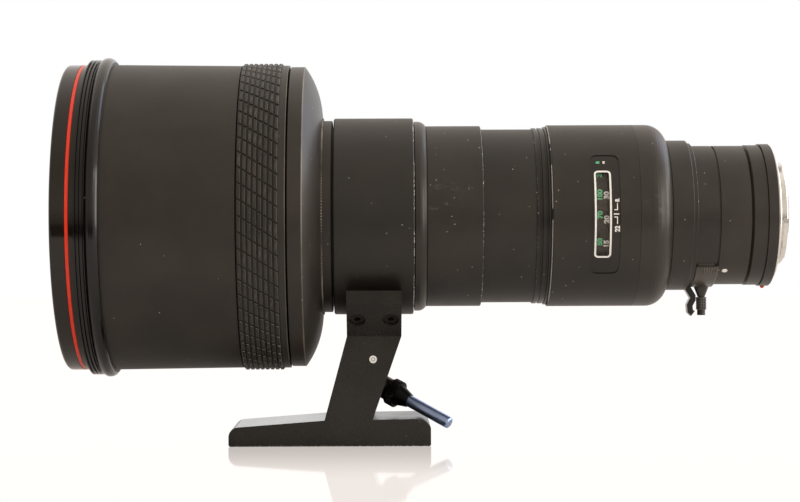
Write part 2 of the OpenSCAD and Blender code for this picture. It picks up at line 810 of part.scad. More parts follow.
module front_ring() {
    lip = 4;
    edge = 1.5;
    spigot = 4.5;
    groove = 0.35;
    line_x0 = front_x0 + line_offset - line_width / 2;
    color("#0b0b0c") turned(concat(
        [[front_glass_r + lip, front_x0 + lip], [front_ring_r - 2 * edge, front_x0]],
        arc_between([front_ring_r - edge, front_x0], [front_ring_r, front_x0 + edge], edge, 5),
        [[front_ring_r, line_x0], [front_ring_r - groove, line_x0],
            [front_ring_r - groove, line_x0 + line_width], [front_ring_r, line_x0 + line_width],
            [front_ring_r, thread_x0], [drum_bore - seat_clear, thread_x0],
            [drum_bore - seat_clear, thread_x0 + spigot],
            [drum_bore - lip, thread_x0 + spigot],
            [front_glass_r - lip / 2, thread_x0 - edge], [front_glass_r - lip / 2, thread_x0 - 2 * edge]]
    ));
}

module front_barrel() {
    ridges = floor(thread_len / thread_pitch);
    crest_share = 0.3;
    crest = crest_share * thread_pitch;
    color("#332f2a") turned(concat(
        [[drum_bore, thread_x0], [thread_r - thread_depth, thread_x0]],
        [for (i = [0:ridges - 1]) let (x = thread_x0 + (i + 0.5) * thread_pitch) each [
            [thread_r - thread_depth, x - crest], [thread_r, x - crest / 2],
            [thread_r, x + crest / 2], [thread_r - thread_depth, x + crest]
        ]],
        [[thread_r - thread_depth, thread_x1]],
        [for (i = [0:curve_steps]) let (a = 180 * i / curve_steps) [
            max(bead_r - bead_len / 2 + bead_len / 2 * sin(a), drum_r),
            thread_x1 + bead_len / 2 * (1 - cos(a))
        ]],
        [[drum_r, drum_x1], [drum_bore, drum_x1]]
    ));
}

// Lens cell seats, from the front
cell_lip = 2.5;
cell_gap = 4.5;
front_room_share = 1.75;
air_gap_share = 0.9;
cell_x0 = thread_x0 + cell_gap + loose_clear;
front_seat_x = cell_x0 + front_room_share * glass_edge;
second_seat_x = front_seat_x + air_gap_share * glass_edge;
second_end_x = second_seat_x + glass_edge;
cell_end_x = second_end_x + 2 * cell_lip;

module front_cell() {
    color("#161616") turned([
        [front_glass_r + seat_clear, cell_x0], [drum_bore - seat_clear, cell_x0],
        [drum_bore - seat_clear, front_seat_x], [drum_bore - cell_lip, front_seat_x + cell_lip],
        [drum_bore - cell_lip, cell_end_x - 2 * cell_lip],
        [drum_bore - seat_clear, cell_end_x - cell_lip], [drum_bore - seat_clear, cell_end_x],
        [second_glass_r + seat_clear, cell_end_x], [second_glass_r + seat_clear, second_seat_x],
        [second_glass_r - cell_lip / 2, second_seat_x], [second_glass_r - cell_lip / 2, front_seat_x],
        [front_glass_r + seat_clear, front_seat_x]
    ]);
}

module retaining_rings() {
    front_wall = 3.5;
    color("#0e0e0e") {
        ring(front_seat_x - glass_edge - cell_lip, front_seat_x - glass_edge,
            front_glass_r - front_wall, front_glass_r);
        ring(second_end_x, second_end_x + cell_lip, second_glass_r - cell_lip, second_glass_r);
    }
}

// Glass with curved faces inside a flat land. A positive bulge stands out of the land's plane.
glass_land = 3.6;

function bulge_points(r, x, bulge, steps = curve_steps) =
    [for (i = [0:steps]) let (s = i / steps) [r * s, x + bulge * (1 - s * s)]];

module glass(r, x0, x1, front_bulge, rear_bulge) {
    rear_points = bulge_points(r - glass_land, x1, rear_bulge);
    color([0.55, 0.62, 0.72, 0.45]) turned(concat(
        bulge_points(r - glass_land, x0, -front_bulge),
        [[r, x0], [r, x1]],
        [for (i = [curve_steps:-1:0]) rear_points[i]]
    ));
}

module front_element() {
    bulge = front_glass_r * front_glass_r / (2 * front_curve_r);
    glass(front_glass_r, front_seat_x - glass_edge, front_seat_x, bulge, 0);
}

module second_element() {
    front_bulge_share = 0.6;
    rear_bulge_share = 0.3;
    glass(second_glass_r, second_seat_x, second_end_x,
        front_bulge_share * glass_edge, rear_bulge_share * glass_edge);
}

module bearing_tube() {
    flange = 3.9;
    window_gap = 0.8;
    bearing_wall_r = 1.2;
    web_bore = pinion_orbit - pinion_shaft_r - bearing_wall_r;
    web_x1 = grip_x0 + rib_t - loose_clear;
    color("#3a3a3a") difference() {
        turned([
            [bearing_bore, drum_x1 - flange], [drum_bore - seat_clear, drum_x1 - flange],
            [drum_bore - seat_clear, drum_x1], [bearing_r, drum_x1], [bearing_r, shoulder_x0],
            [bearing_bore, shoulder_x0], [bearing_bore, web_x1],
            [web_bore, web_x1], [web_bore, web_x1 - web_t], [bearing_bore, web_x1 - web_t]
        ]);
        round_axis(pinion_angle, pinion_orbit, large_pinion_x0 - window_gap)
            cylinder(h = large_pinion_t + 2 * window_gap, r = large_pinion_r + 2 * ring_module, $fn = fine);
        rod(pinion_angle, pinion_orbit, drum_x1 - flange, web_x1 + overrun, pinion_shaft_r + run_clear);
    }
}

module shoulder_housing() {
    wall = 3.8;
    cavity_r = shoulder_r - wall;
    bearing_depth = 2.2;
    color("#26292d") difference() {
        turned(concat(
            [[bearing_bore, shoulder_x0], [shoulder_r, shoulder_x0]],
            arc_between([shoulder_r, dome_x0], [dome_end_r, knurl_x0], dome_curve_r),
            [[neck_bore, knurl_x0], [neck_bore, wall_x], [cavity_r, wall_x],
                [cavity_r, shoulder_x0 + shoulder_web_t], [bearing_bore, shoulder_x0 + shoulder_web_t]]
        ));
        rod(pinion_angle, pinion_orbit, wall_x - overrun, wall_x + bearing_depth + run_clear,
            pinion_shaft_r + run_clear);
    }
}

module neck_ring() {
    line_rise = 0.5;
    edge = 0.3;
    color("#2a2724") turned([
        [neck_bore, knurl_x0], [neck_r + line_rise, knurl_x0], [neck_r + line_rise, neck_x0],
        [neck_r, neck_x0], [neck_r, neck_x1 - edge], [neck_r - edge, neck_x1], [neck_bore, neck_x1]
    ]);
}

/* Main tube and barrels */

module main_tube() {
    land = 6;
    color("#6f6a62") turned([
        [helicoid_r + run_clear, wall_x], [main_r, wall_x], [main_r, retainer_x1],
        [spigot_r, retainer_x1], [spigot_r, retainer_x1 + spigot_len],
        [main_bore, retainer_x1 + spigot_len], [main_bore, wall_x + land],
        [helicoid_r + run_clear, wall_x + land]
    ]);
}

module collar_retaining_ring() {
    step = 2;
    curve_share = 1.4;
    color("#2f2c28") turned(concat(
        [[neck_bore, retainer_x0], [retainer_r - seat_clear, retainer_x0],
            [retainer_r, retainer_x0 + step]],
        arc_between([retainer_r, retainer_x0 + step], [retainer_r - step, retainer_x1 - seat_clear],
            curve_share * (retainer_len - step), 6),
        [[neck_bore, retainer_x1 - seat_clear]]
    ));
}

module mid_barrel() {
    bevel = 0.3;
    color("#332f2a") bevelled_ring(retainer_x1, mid_x1, mid_bore, mid_r, bevel);
}

module inner_barrel() {
    color("#35312c") turned([
        [main_bore, retainer_x1 + spigot_len + seat_clear],
        [mid_bore - seat_clear, retainer_x1 + spigot_len + seat_clear],
        [mid_bore - seat_clear, mid_x1], [inner_r, mid_x1], [inner_r, inner_x1],
        [inner_seat_r, inner_x1], [inner_seat_r, housing_x0], [main_bore, housing_x0]
    ]);
}

// Ring with two grooves between three lands, and a slightly larger lip at its rear
module ribbed_ring() {
    land_share = 0.26;
    groove_share = 0.12;
    slope_share = 0.03;
    depth_share = 0.45;
    lip = 0.5;
    land = land_share * ribbed_len;
    slope = slope_share * ribbed_len;
    groove = groove_share * ribbed_len;
    dip_r = ribbed_r - depth_share * ribbed_wall;
    second_x0 = inner_x1 + land + 2 * slope + groove;
    third_x0 = second_x0 + land + 2 * slope + groove;
    color("#24211e") turned([
        [ribbed_bore, inner_x1], [ribbed_r, inner_x1], [ribbed_r, inner_x1 + land],
        [dip_r, inner_x1 + land + slope], [dip_r, second_x0 - slope],
        [ribbed_r, second_x0], [ribbed_r, second_x0 + land],
        [dip_r, second_x0 + land + slope], [dip_r, third_x0 - slope],
        [ribbed_r + lip, third_x0], [ribbed_r + lip, ribbed_x1],
        [ribbed_bore, ribbed_x1]
    ]);
}

/* Autofocus housing */

panel_x0 = housing_x0 + panel_offset;
window_x0 = panel_x0 + window_offset;
panel_r = housing_r - panel_recess;
window_corner = 1.2;

module af_housing() {
    edge = 0.5;
    ledge = 1.2;
    color("#332f2a") difference() {
        turned([
            [helicoid_r + run_clear, housing_x0], [housing_r - edge, housing_x0],
            [housing_r, housing_x0 + edge], [housing_r, housing_x1], [housing_bore, housing_x1],
            [housing_bore, housing_x0 + flange_t], [helicoid_r + run_clear, housing_x0 + flange_t]
        ]);
        intersection() {
            window_slab(panel_x0, panel_len, panel_height, panel_corner);
            ring(housing_x0 + flange_t, housing_x1, panel_r - panel_wall, housing_r + overrun);
        }
        window_slab(panel_x0 + ledge, panel_len - 2 * ledge, panel_height - 2 * ledge,
            panel_corner - ledge / 2);
    }
}

module window_panel() {
    color("#1c1a18") difference() {
        intersection() {
            window_slab(panel_x0 + seat_clear, panel_len - 2 * seat_clear,
                panel_height - 2 * seat_clear, panel_corner);
            ring(housing_x0 + flange_t, housing_x1, panel_r - panel_wall, panel_r);
        }
        window_slab(window_x0, window_len, window_height, window_corner);
    }
}

module window_glass() {
    glass_lap = 0.8;
    glass_t = 0.35;
    color([0.8, 0.85, 0.85, 0.3]) intersection() {
        window_slab(window_x0 - glass_lap, window_len + 2 * glass_lap,
            window_height + 2 * glass_lap, window_corner);
        ring(housing_x0 + flange_t, housing_x1, panel_r - panel_wall - glass_t, panel_r - panel_wall);
    }
}

module rear_shoulder() {
    wall = 2.5;
    spigot = 2;
    seat_len = 3;
    inner_end = round_x0 + rear_round - wall;
    color("#332f2a") turned(concat(
        [[frame_web_r, housing_x1 - spigot], [housing_bore - seat_clear, housing_x1 - spigot],
            [housing_bore - seat_clear, housing_x1], [housing_r, housing_x1]],
        arc_between([housing_r, round_x0], [housing_r - rear_round, round_x1], rear_round),
        [[rear_bore, round_x1], [rear_bore, inner_end]],
        [for (i = [curve_steps:-1:0]) let (a = 90 * i / curve_steps)
            [housing_r - rear_round + (rear_round - wall) * cos(a),
                round_x0 + (rear_round - wall) * sin(a)]],
        [[housing_r - wall, frame_web_x0 + seat_len], [frame_web_r, frame_web_x0 + seat_len]]
    ));
}

/* Rear barrel and mount */

module rear_ring() {
    edge = 0.3;
    spigot_wall = 1.4;
    spigot = 2;
    color("#332f2a") difference() {
        turned([
            [rear_bore - spigot_wall, round_x1 - spigot], [rear_bore - seat_clear, round_x1 - spigot],
            [rear_bore - seat_clear, round_x1 + seat_clear], [rear_ring_r, round_x1 + seat_clear],
            [rear_ring_r, rear_ring_x1 - edge], [rear_ring_r - edge, rear_ring_x1],
            [step_r, rear_ring_x1], [step_r, step_x1 - edge], [step_r - edge, step_x1],
            [rear_bore, step_x1], [rear_bore, round_x1 + spigot], [rear_bore - spigot_wall, round_x1]
        ]);
        rod(far_side, af_orbit, round_x1 - spigot - overrun, step_x1 + overrun, af_shaft_r + slot_clear);
    }
}

module filter_section() {
    groove = 0.7;
    color("#2e2a26") difference() {
        turned([
            [rear_bore, step_x1], [rear_r, step_x1], [rear_r, filter_x1],
            [rear_r - groove, filter_x1], [rear_r - groove, rear_x0], [rear_bore, rear_x0]
        ]);
        translate([holder_x0 - slot_clear, -holder_half - slot_clear, axis_height - 2 * rear_r])
            cube([holder_t + 2 * slot_clear, 2 * (holder_half + slot_clear), 2 * rear_r]);
    }
}

module rear_barrel() {
    groove = 1.1;
    color("#332f2a") turned([
        [rear_bore, rear_x0], [rear_r, rear_x0], [rear_r, rear_x1],
        [rear_r - groove, (rear_x1 + mount_x0) / 2], [rear_r, mount_x0], [rear_bore, mount_x0]
    ]);
}

mount_screw_orbit = 28;
mount_screw_r = 1;
mount_web_t = 3;

module each_mount_screw() {
    for (a = [45:90:315]) round_axis(a, mount_screw_orbit, 0) children();
}

module mount_ring() {
    dip = 0.7;
    edge = 0.3;
    web_bore = throat_r + 2 * dip;
    color("#332f2a") difference() {
        turned([
            [rear_bore, mount_x0], [mount_r, mount_x0], [mount_r, mount_x1],
            [mount_r - dip, mount_x1], [mount_r - dip, base_x0], [base_r, base_x0],
            [base_r, base_x1 - edge], [base_r - edge, base_x1], [web_bore, base_x1],
            [web_bore, base_x1 - mount_web_t], [rear_bore, base_x1 - mount_web_t]
        ]);
        rod(far_side, af_orbit, mount_x0, base_x1 + overrun, af_shaft_r + slot_clear);
        each_mount_screw() translate([0, 0, base_x1 - mount_web_t - overrun])
            cylinder(h = mount_web_t + 2 * overrun, r = mount_screw_r + seat_clear, $fn = fine / 2);
    }
}

module bayonet_mount() {
    edge = 0.3;
    color("#d9dadc") difference() {
        union() {
            turned([
                [throat_r, base_x1], [plate_r, base_x1], [plate_r, plate_x1 - edge],
                [plate_r - edge, plate_x1], [tube_r, plate_x1], [tube_r, bayonet_x1 - edge],
                [tube_r - edge, bayonet_x1], [throat_r, bayonet_x1]
            ]);
            for (a = [60, 180, 300])
                sector(bayonet_x1 - lug_t, bayonet_x1 - edge, tube_r - edge, lug_r,
                    a - lug_angle / 2, a + lug_angle / 2);
        }
        rod(far_side, af_orbit, base_x1 - overrun, plate_x1 + overrun, af_shaft_r + run_clear);
        each_mount_screw() {
            translate([0, 0, base_x1 - overrun])
                cylinder(h = plate_t + 2 * overrun, r = mount_screw_r + seat_clear, $fn = fine / 2);
            translate([0, 0, plate_x1 - mount_screw_r])
                cylinder(h = 2 * mount_screw_r, r = 2 * mount_screw_r, $fn = fine / 2);
        }
    }
}

module mount_screws() {
    head_share = 0.8;
    head_t = head_share * mount_screw_r;
    head_x0 = plate_x1 - mount_screw_r;
    slot_half = 0.25;
    color("#c4c6c8") each_mount_screw() {
        difference() {
            translate([0, 0, head_x0])
                cylinder(h = head_t, r = 2 * mount_screw_r - run_clear, $fn = fine / 2);
            for (a = [0, 90]) rotate([0, 0, a])
                translate([-mount_screw_r, -slot_half, head_x0 + head_t / 2])
                    cube([2 * mount_screw_r, 2 * slot_half, head_t]);
        }
        translate([0, 0, base_x1 - mount_web_t])
            cylinder(h = head_x0 - base_x1 + mount_web_t, r = mount_screw_r, $fn = fine / 2);
    }
}

module contact_block() {
    depth = 4;
    block_half = contact_len / 2 / throat_r * 180 / PI;
    color("#141414") sector(base_x1 - mount_web_t, bayonet_x1 + contact_proud,
        throat_r - depth, throat_r - seat_clear, near_side - block_half, near_side + block_half);
}

/* Rear frame and iris */

arm_width = 4;
arm_orbit = 28;
arm_t = 1.6;
arm_swing_angle = 20;
arm_half_angle = arm_width / 2 / arm_orbit * 180 / PI;
arm_slack_angle = 2;
lever_r = 18;
blade_turn_angle = 25;

module arm_slot(x0, x1) {
    sector(x0, x1, arm_orbit - arm_t, arm_orbit + arm_t,
        up - arm_half_angle - arm_slack_angle, up + arm_half_angle + arm_swing_angle + arm_slack_angle);
}

module rear_frame() {
    color("#1f1f1f") difference() {
        turned([
            [frame_bore, iris_rim_x1], [iris_rim_r, iris_rim_x1],
            [iris_rim_r, iris_rim_x1 + frame_flange_t], [frame_tube_r, iris_rim_x1 + frame_flange_t],
            [frame_tube_r, frame_web_x0], [frame_web_r - seat_clear, frame_web_x0],
            [frame_web_r - seat_clear, frame_web_x0 + frame_web_t], [frame_bore, frame_web_x0 + frame_web_t]
        ]);
        arm_slot(iris_rim_x1 - overrun, iris_rim_x1 + frame_flange_t + overrun);
        arm_slot(frame_web_x0 - overrun, frame_web_x0 + frame_web_t + overrun);
        rod(far_side, af_orbit, frame_web_x0 - overrun, frame_web_x0 + frame_web_t + overrun,
            af_shaft_r + run_clear);
    }
}

module rear_element() {
    rear_glass_edge = 4;
    rear_glass_x = iris_rim_x1 + 2 * frame_flange_t;
    glass(frame_bore - seat_clear, rear_glass_x, rear_glass_x + rear_glass_edge,
        rear_glass_edge / 2, rear_glass_edge / 4);
}

pivot_orbit = 31;
iris_pin_r = 0.7;
drive_angle = 20;
guide_orbit = 33.9;
guide_r = 1.5;

module iris_housing() {
    color("#1b1b1b") difference() {
        turned([
            [iris_clear_r, iris_x0], [iris_rim_r, iris_x0], [iris_rim_r, iris_rim_x1],
            [iris_rim_r - iris_rim_wall, iris_rim_x1], [iris_rim_r - iris_rim_wall, iris_stack_x0],
            [iris_clear_r, iris_stack_x0]
        ]);
        for (i = [0:iris_blades - 1])
            rod(360 * i / iris_blades, pivot_orbit, iris_x0 - overrun, iris_stack_x0 + overrun,
                iris_pin_r + run_clear);
    }
}

// Place of a blade's drive pin round the axis after the blade has turned
function drive_pin(turn) =
    polar(pivot_orbit, 0)
    + [[cos(turn), -sin(turn)], [sin(turn), cos(turn)]]
    * (polar(pivot_orbit, drive_angle) - polar(pivot_orbit, 0));

// The same place, seen from the turning actuator ring
function slot_point(share) =
    let (p = drive_pin(share * blade_turn_angle), back = -share * arm_swing_angle)
    [p[0] * cos(back) - p[1] * sin(back), p[0] * sin(back) + p[1] * cos(back)];

module iris_actuator() {
    slot_half = iris_pin_r + slot_clear;
    steps = 6;
    path = [for (i = [-1:steps + 1]) slot_point(i / steps)];
    sides = [for (i = [1:steps + 1]) let (t = path[i + 1] - path[i - 1])
        [-t[1], t[0]] * slot_half / norm(t)];
    color("#4a4a4a") {
        on_axis() translate([0, 0, iris_ring_x0]) linear_extrude(iris_ring_t) difference() {
            circle(r = iris_ring_r, $fn = fine);
            circle(r = iris_clear_r + arm_t, $fn = fine);
            for (i = [0:iris_blades - 1]) rotate([0, 0, 360 * i / iris_blades]) {
                polygon(concat(
                    [for (j = [0:steps]) path[j + 1] + sides[j]],
                    [for (j = [steps:-1:0]) path[j + 1] - sides[j]]
                ));
                translate(path[1]) circle(r = slot_half, $fn = 24);
                translate(path[steps + 1]) circle(r = slot_half, $fn = 24);
            }
        }
        arm_bar(iris_ring_x0 + iris_ring_t, mount_x1, arm_orbit);
        sector(mount_x1 - arm_t, mount_x1, lever_r - arm_t / 2, arm_orbit + arm_t / 2,
            up - arm_half_angle, up + arm_half_angle);
        arm_bar(mount_x1, plate_x1, lever_r);
    }
}

module arm_bar(x0, x1, orbit) {
    sector(x0, x1, orbit - arm_t / 2, orbit + arm_t / 2, up - arm_half_angle, up + arm_half_angle);
}

module iris_blade(i) {
    edge_gap = 1.1;
    pin_gap = 1;
    band_in = iris_clear_r + edge_gap;
    band_out = pivot_orbit - iris_pin_r - pin_gap;
    band_end_angle = 83;
    pad = 1.8;
    blade_x = iris_stack_x0 + blade_pitch * (i + 1);
    color("#3d3d40") on_axis() rotate([0, 0, 360 * i / iris_blades]) {
        translate([0, 0, blade_x]) linear_extrude(blade_t) {
            sector_2d(band_in, band_out, 0, band_end_angle, 2 * curve_steps);
            sector_2d(band_out - pad, pivot_orbit + pad, 0, drive_angle);
            for (a = [0, drive_angle]) translate(polar(pivot_orbit, a)) circle(r = pad, $fn = 24);
        }
        translate([pivot_orbit, 0, iris_x0 + blade_pitch])
            cylinder(h = blade_x + blade_t - iris_x0 - blade_pitch, r = iris_pin_r, $fn = 24);
        rotate([0, 0, drive_angle]) translate([pivot_orbit, 0, blade_x])
            cylinder(h = iris_ring_x0 + iris_ring_t - blade_x, r = iris_pin_r, $fn = 24);
    }
}

guide_inset = 12.5;
guide_x0 = collar_x0 + guide_inset;
guide_angles = [up + 60, down + 60, down - 60];

module guide_bars() {
    color("#a0a0a0") for (a = guide_angles) rod(a, guide_orbit, guide_x0, iris_x0, guide_r);
}

/* Focus drive */

module focus_ring() {
    rib_bore = bearing_r + run_clear;
    gear_rim = 1.3;
    gear_outer = ring_gear_r + gear_rim;
    color("#2d2a26") {
        turned([
            [rib_bore, grip_x0], [ring_r, grip_x0], [ring_r, grip_x1], [land_r, grip_x1],
            [land_r, focus_x1], [rib_bore, focus_x1], [rib_bore, grip_x1], [gear_outer, grip_x1],
            [gear_outer, grip_x0 + rib_t], [rib_bore, grip_x0 + rib_t]
        ]);
        on_axis() rotate([0, 0, pinion_angle]) translate([0, 0, large_pinion_x0])
            inner_gear(ring_teeth, ring_gear_r, gear_outer + seat_clear, large_pinion_t);
    }
}

module focus_grip() {
    pitch = grip_len / grip_ribs;
    groove_share = 0.3;
    slope_share = 0.7;
    groove = groove_share * pitch;
    crest_inset = slope_share * groove;
    bottom = grip_r - grip_groove;
    color("#3c3833") turned(concat(
        [[ring_r + seat_clear, grip_x0], [bottom, grip_x0]],
        [for (i = [0:grip_ribs - 1]) let (x = grip_x0 + i * pitch) each [
            [bottom, x + groove / 2], [grip_r, x + crest_inset],
            [grip_r, x + pitch - crest_inset], [bottom, x + pitch - groove / 2]
        ]],
        [[bottom, grip_x1 - seat_clear], [ring_r + seat_clear, grip_x1 - seat_clear]]
    ));
}

module cluster_pinion() {
    shaft_x0 = grip_x0 + rib_t - loose_clear - web_t;
    bearing_depth = 2.2;
    color("#c9a45a") {
        rod(pinion_angle, pinion_orbit, shaft_x0, wall_x + bearing_depth - loose_clear, pinion_shaft_r);
        round_axis(pinion_angle, pinion_orbit, large_pinion_x0) rotate([0, 0, 180 / large_pinion_teeth])
            gear(large_pinion_teeth, large_pinion_r, large_pinion_t);
        round_axis(pinion_angle, pinion_orbit, helicoid_gear_x0)
            gear(small_pinion_teeth, small_pinion_r, gear_t);
    }
}

module helicoid_tube() {
    color("#b9975a") difference() {
        union() {
            ring(helicoid_x0, helicoid_x1, helicoid_bore, helicoid_r);
            on_axis() translate([0, 0, helicoid_gear_x0])
                rotate([0, 0, pinion_angle + 180 / helicoid_teeth])
                gear(helicoid_teeth, helicoid_gear_r, gear_t);
        }
        on_axis() translate([0, 0, helicoid_x0])
            cylinder(h = helicoid_x1 - helicoid_x0, r = helicoid_bore, $fn = fine);
    }
}

module scale_drum() {
    color("#c8c4b8") {
        turned([
            [helicoid_r + seat_clear, scale_x0], [scale_r, scale_x0], [scale_r, scale_x1],
            [scale_bore, scale_x1], [scale_bore, scale_x0 + scale_web_t],
            [helicoid_r + seat_clear, scale_x0 + scale_web_t]
        ]);
        on_axis() rotate([0, 0, far_side]) translate([0, 0, scale_x1 - scale_gear_t])
            inner_gear(scale_teeth, scale_gear_r, scale_bore + seat_clear, scale_gear_t);
    }
}

cell_inset = 7.3;
cell_x = guide_x0 + cell_inset;
cell_land = 5;
cell_relief = 0.4;

module focus_cell() {
    cell_r = helicoid_bore - run_clear;
    inner_lip = 1.2;
    glass_x0 = cell_x + (cell_len - glass_edge) / 2;
    color("#2f2f33") difference() {
        turned([
            [focus_glass_r + seat_clear, cell_x], [cell_r, cell_x], [cell_r, cell_x + cell_land],
            [cell_r - cell_relief, cell_x + cell_land],
            [cell_r - cell_relief, cell_x + cell_len - cell_land],
            [cell_r, cell_x + cell_len - cell_land], [cell_r, cell_x + cell_len],
            [focus_glass_r - inner_lip, cell_x + cell_len],
            [focus_glass_r - inner_lip, glass_x0 + glass_edge + seat_clear],
            [focus_glass_r + seat_clear, glass_x0 + glass_edge + seat_clear]
        ]);
        for (a = guide_angles)
            rod(a, guide_orbit, cell_x - overrun, cell_x + cell_len + overrun, guide_r + run_clear);
    }
}

module focus_element() {
    hollow = (glass_edge - focus_glass_mid) / 2;
    glass_x0 = cell_x + (cell_len - glass_edge) / 2;
    glass(focus_glass_r, glass_x0, glass_x0 + glass_edge, -hollow, -hollow);
}

module af_shaft() {
    slot_half = 0.4;
    slot_depth = 1.2;
    tip_x = plate_x1 - seat_clear;
    color("#b0b2b5") difference() {
        union() {
            rod(far_side, af_orbit, scale_x1 - scale_gear_t, tip_x, af_shaft_r);
            round_axis(far_side, af_orbit, scale_x1 - scale_gear_t) rotate([0, 0, 180 / af_teeth])
                gear(af_teeth, af_pinion_r, scale_gear_t);
        }
        round_axis(far_side, af_orbit, tip_x - slot_depth)
            translate([-2 * af_shaft_r, -slot_half, 0])
            cube([4 * af_shaft_r, 2 * slot_half, 2 * slot_depth]);
    }
}

/* Filter drawer */

knob_offset = 1;
knob_x = holder_x0 + holder_t / 2 + knob_offset;
knob_pin_r = 0.9;

// Frame with z running down out of the lens from its axis, at the lock knob
module under_knob(r) {
    translate([knob_x, 0, axis_height - r]) rotate([180, 0, 0]) children();
}

module filter_holder() {
    rim = 1.4;
    glass_room = filter_t + 2 * seat_clear;
    glass_x0 = holder_x0 + (holder_t - glass_room) / 2;
    boss_sink = 0.25;
    boss_tip_share = 0.7;
    color("#1d1d1d") {
        difference() {
            union() {
                on_axis() translate([0, 0, holder_x0]) cylinder(h = holder_t, r = holder_half, $fn = fine);
                intersection() {
                    translate([holder_x0, -holder_half, axis_height - 2 * rear_r])
                        cube([holder_t, 2 * holder_half, 2 * rear_r]);
                    on_axis() translate([0, 0, holder_x0])
                        cylinder(h = holder_t, r = cap_r, $fn = fine);
                }
            }
            on_axis() translate([0, 0, holder_x0 - overrun])
                cylinder(h = holder_t + 2 * overrun, r = filter_r - rim, $fn = fine);
            on_axis() translate([0, 0, glass_x0])
                cylinder(h = holder_t, r = filter_r + seat_clear, $fn = fine);
            under_knob(cap_r - cap_t)
                cylinder(h = 2 * cap_t, r = knob_pin_r + run_clear, $fn = fine / 2);
        }
        difference() {
            under_knob(cap_r - boss_sink)
                cylinder(h = boss_h + boss_sink, r1 = boss_r, r2 = boss_tip_share * knob_r,
                    $fn = fine / 2);
            under_knob(cap_r - cap_t)
                cylinder(h = boss_h + 2 * cap_t, r = knob_pin_r + run_clear, $fn = fine / 2);
        }
    }
}

module filter_glass() {
    glass_x0 = holder_x0 + (holder_t - filter_t) / 2;
    color([0.7, 0.72, 0.7, 0.4]) ring(glass_x0, glass_x0 + filter_t, 0, filter_r);
}

module filter_knob() {
    ribs = 14;
    rib_depth = 0.25;
    end_share = 0.82;
    end_r = end_share * knob_r;
    color("#9b9c9e") {
        under_knob(cap_r + boss_h + run_clear) {
            linear_extrude(knob_h) polygon([
                for (i = [0:2 * ribs - 1]) polar(knob_r - (i % 2) * rib_depth, 180 * i / ribs)
            ]);
            translate([0, 0, knob_h - seat_clear])
                cylinder(h = knob_end_h + seat_clear, r = end_r, $fn = fine / 2);
        }
        under_knob(cap_r - cap_t + loose_clear)
            cylinder(h = cap_t + boss_h, r = knob_pin_r, $fn = fine / 2);
    }
}

tripod_collar();
collar_liner();
tripod_foot();
foot_screws();
leg_pin();
lock_washer();
lock_screw();
lock_rod();
brake_plunger();
front_ring();
front_barrel();
front_cell();
retaining_rings();
front_element();
second_element();
bearing_tube();
shoulder_housing();
neck_ring();
main_tube();
collar_retaining_ring();
mid_barrel();
inner_barrel();
ribbed_ring();
af_housing();
window_panel();
window_glass();
rear_shoulder();
rear_ring();
filter_section();
rear_barrel();
mount_ring();
bayonet_mount();
mount_screws();
contact_block();
rear_frame();
rear_element();
iris_housing();
guide_bars();
focus_ring();
focus_grip();
cluster_pinion();
helicoid_tube();
scale_drum();
focus_cell();
focus_element();
af_shaft();
iris_actuator();
iris_blade(0);  // iris_blade_1
iris_blade(1);  // iris_blade_2
iris_blade(2);  // iris_blade_3
iris_blade(3);  // iris_blade_4
iris_blade(4);  // iris_blade_5
iris_blade(5);  // iris_blade_6
iris_blade(6);  // iris_blade_7
filter_holder();
filter_glass();
filter_knob();
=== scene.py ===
"""A super telephoto lens on its tripod foot: black painted barrels with handling wear, a gloss
front ring with a red line, a rubber focus grip, a distance window and a polished rear mount.

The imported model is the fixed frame. Each operator makes or finishes one piece, or one group of like
pieces, around it, and the panel in the sidebar lists them in order.
"""

import json
import math

import bmesh
import bpy
from bpy.props import FloatProperty, FloatVectorProperty, IntProperty, PointerProperty
from bpy.types import Operator, Panel, PropertyGroup
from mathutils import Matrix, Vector


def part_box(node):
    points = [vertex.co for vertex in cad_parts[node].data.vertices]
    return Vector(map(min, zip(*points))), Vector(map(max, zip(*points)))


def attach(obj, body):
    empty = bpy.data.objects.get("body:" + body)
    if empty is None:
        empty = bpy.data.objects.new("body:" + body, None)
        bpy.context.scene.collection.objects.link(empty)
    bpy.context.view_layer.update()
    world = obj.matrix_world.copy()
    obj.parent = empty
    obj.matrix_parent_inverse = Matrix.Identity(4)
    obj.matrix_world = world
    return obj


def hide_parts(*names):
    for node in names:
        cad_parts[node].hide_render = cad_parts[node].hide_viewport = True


bl_info = {
    "name": "Super telephoto lens",
    "version": (1, 0, 0),
    "blender": (4, 5, 0),
    "location": "3D View > Sidebar > Lens",
    "description": "Builds the finishes and the small pieces of a super telephoto lens",
    "category": "Object",
}

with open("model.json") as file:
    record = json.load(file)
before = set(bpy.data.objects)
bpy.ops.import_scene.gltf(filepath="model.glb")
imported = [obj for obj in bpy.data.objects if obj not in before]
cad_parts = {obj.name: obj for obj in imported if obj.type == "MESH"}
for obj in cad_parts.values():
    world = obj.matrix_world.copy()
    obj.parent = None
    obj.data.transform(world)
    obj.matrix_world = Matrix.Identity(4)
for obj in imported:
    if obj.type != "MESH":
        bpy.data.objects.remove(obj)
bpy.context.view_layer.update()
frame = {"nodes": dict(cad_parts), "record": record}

MM = 0.001
AXIS_Z = sum(corner.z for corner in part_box("main_tube")) / 2
NEAR = math.radians(270)
PRINT_PROUD = 0.03 * MM


# Places on the lens


def on_lens(radius, angle, x):
    """A point at a radius from the lens's axis. The angle starts straight down, towards +Y."""
    return Vector((x, radius * math.sin(angle), AXIS_Z - radius * math.cos(angle)))


def upright(centre):
    """Gives the points round an upright axis, from a radius, an angle and a height."""
    return lambda radius, angle, z: Vector(
        (centre.x + radius * math.cos(angle), centre.y + radius * math.sin(angle), z))


def outer_radius(node):
    """How far a turned node reaches from the lens's axis."""
    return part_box(node)[1].y


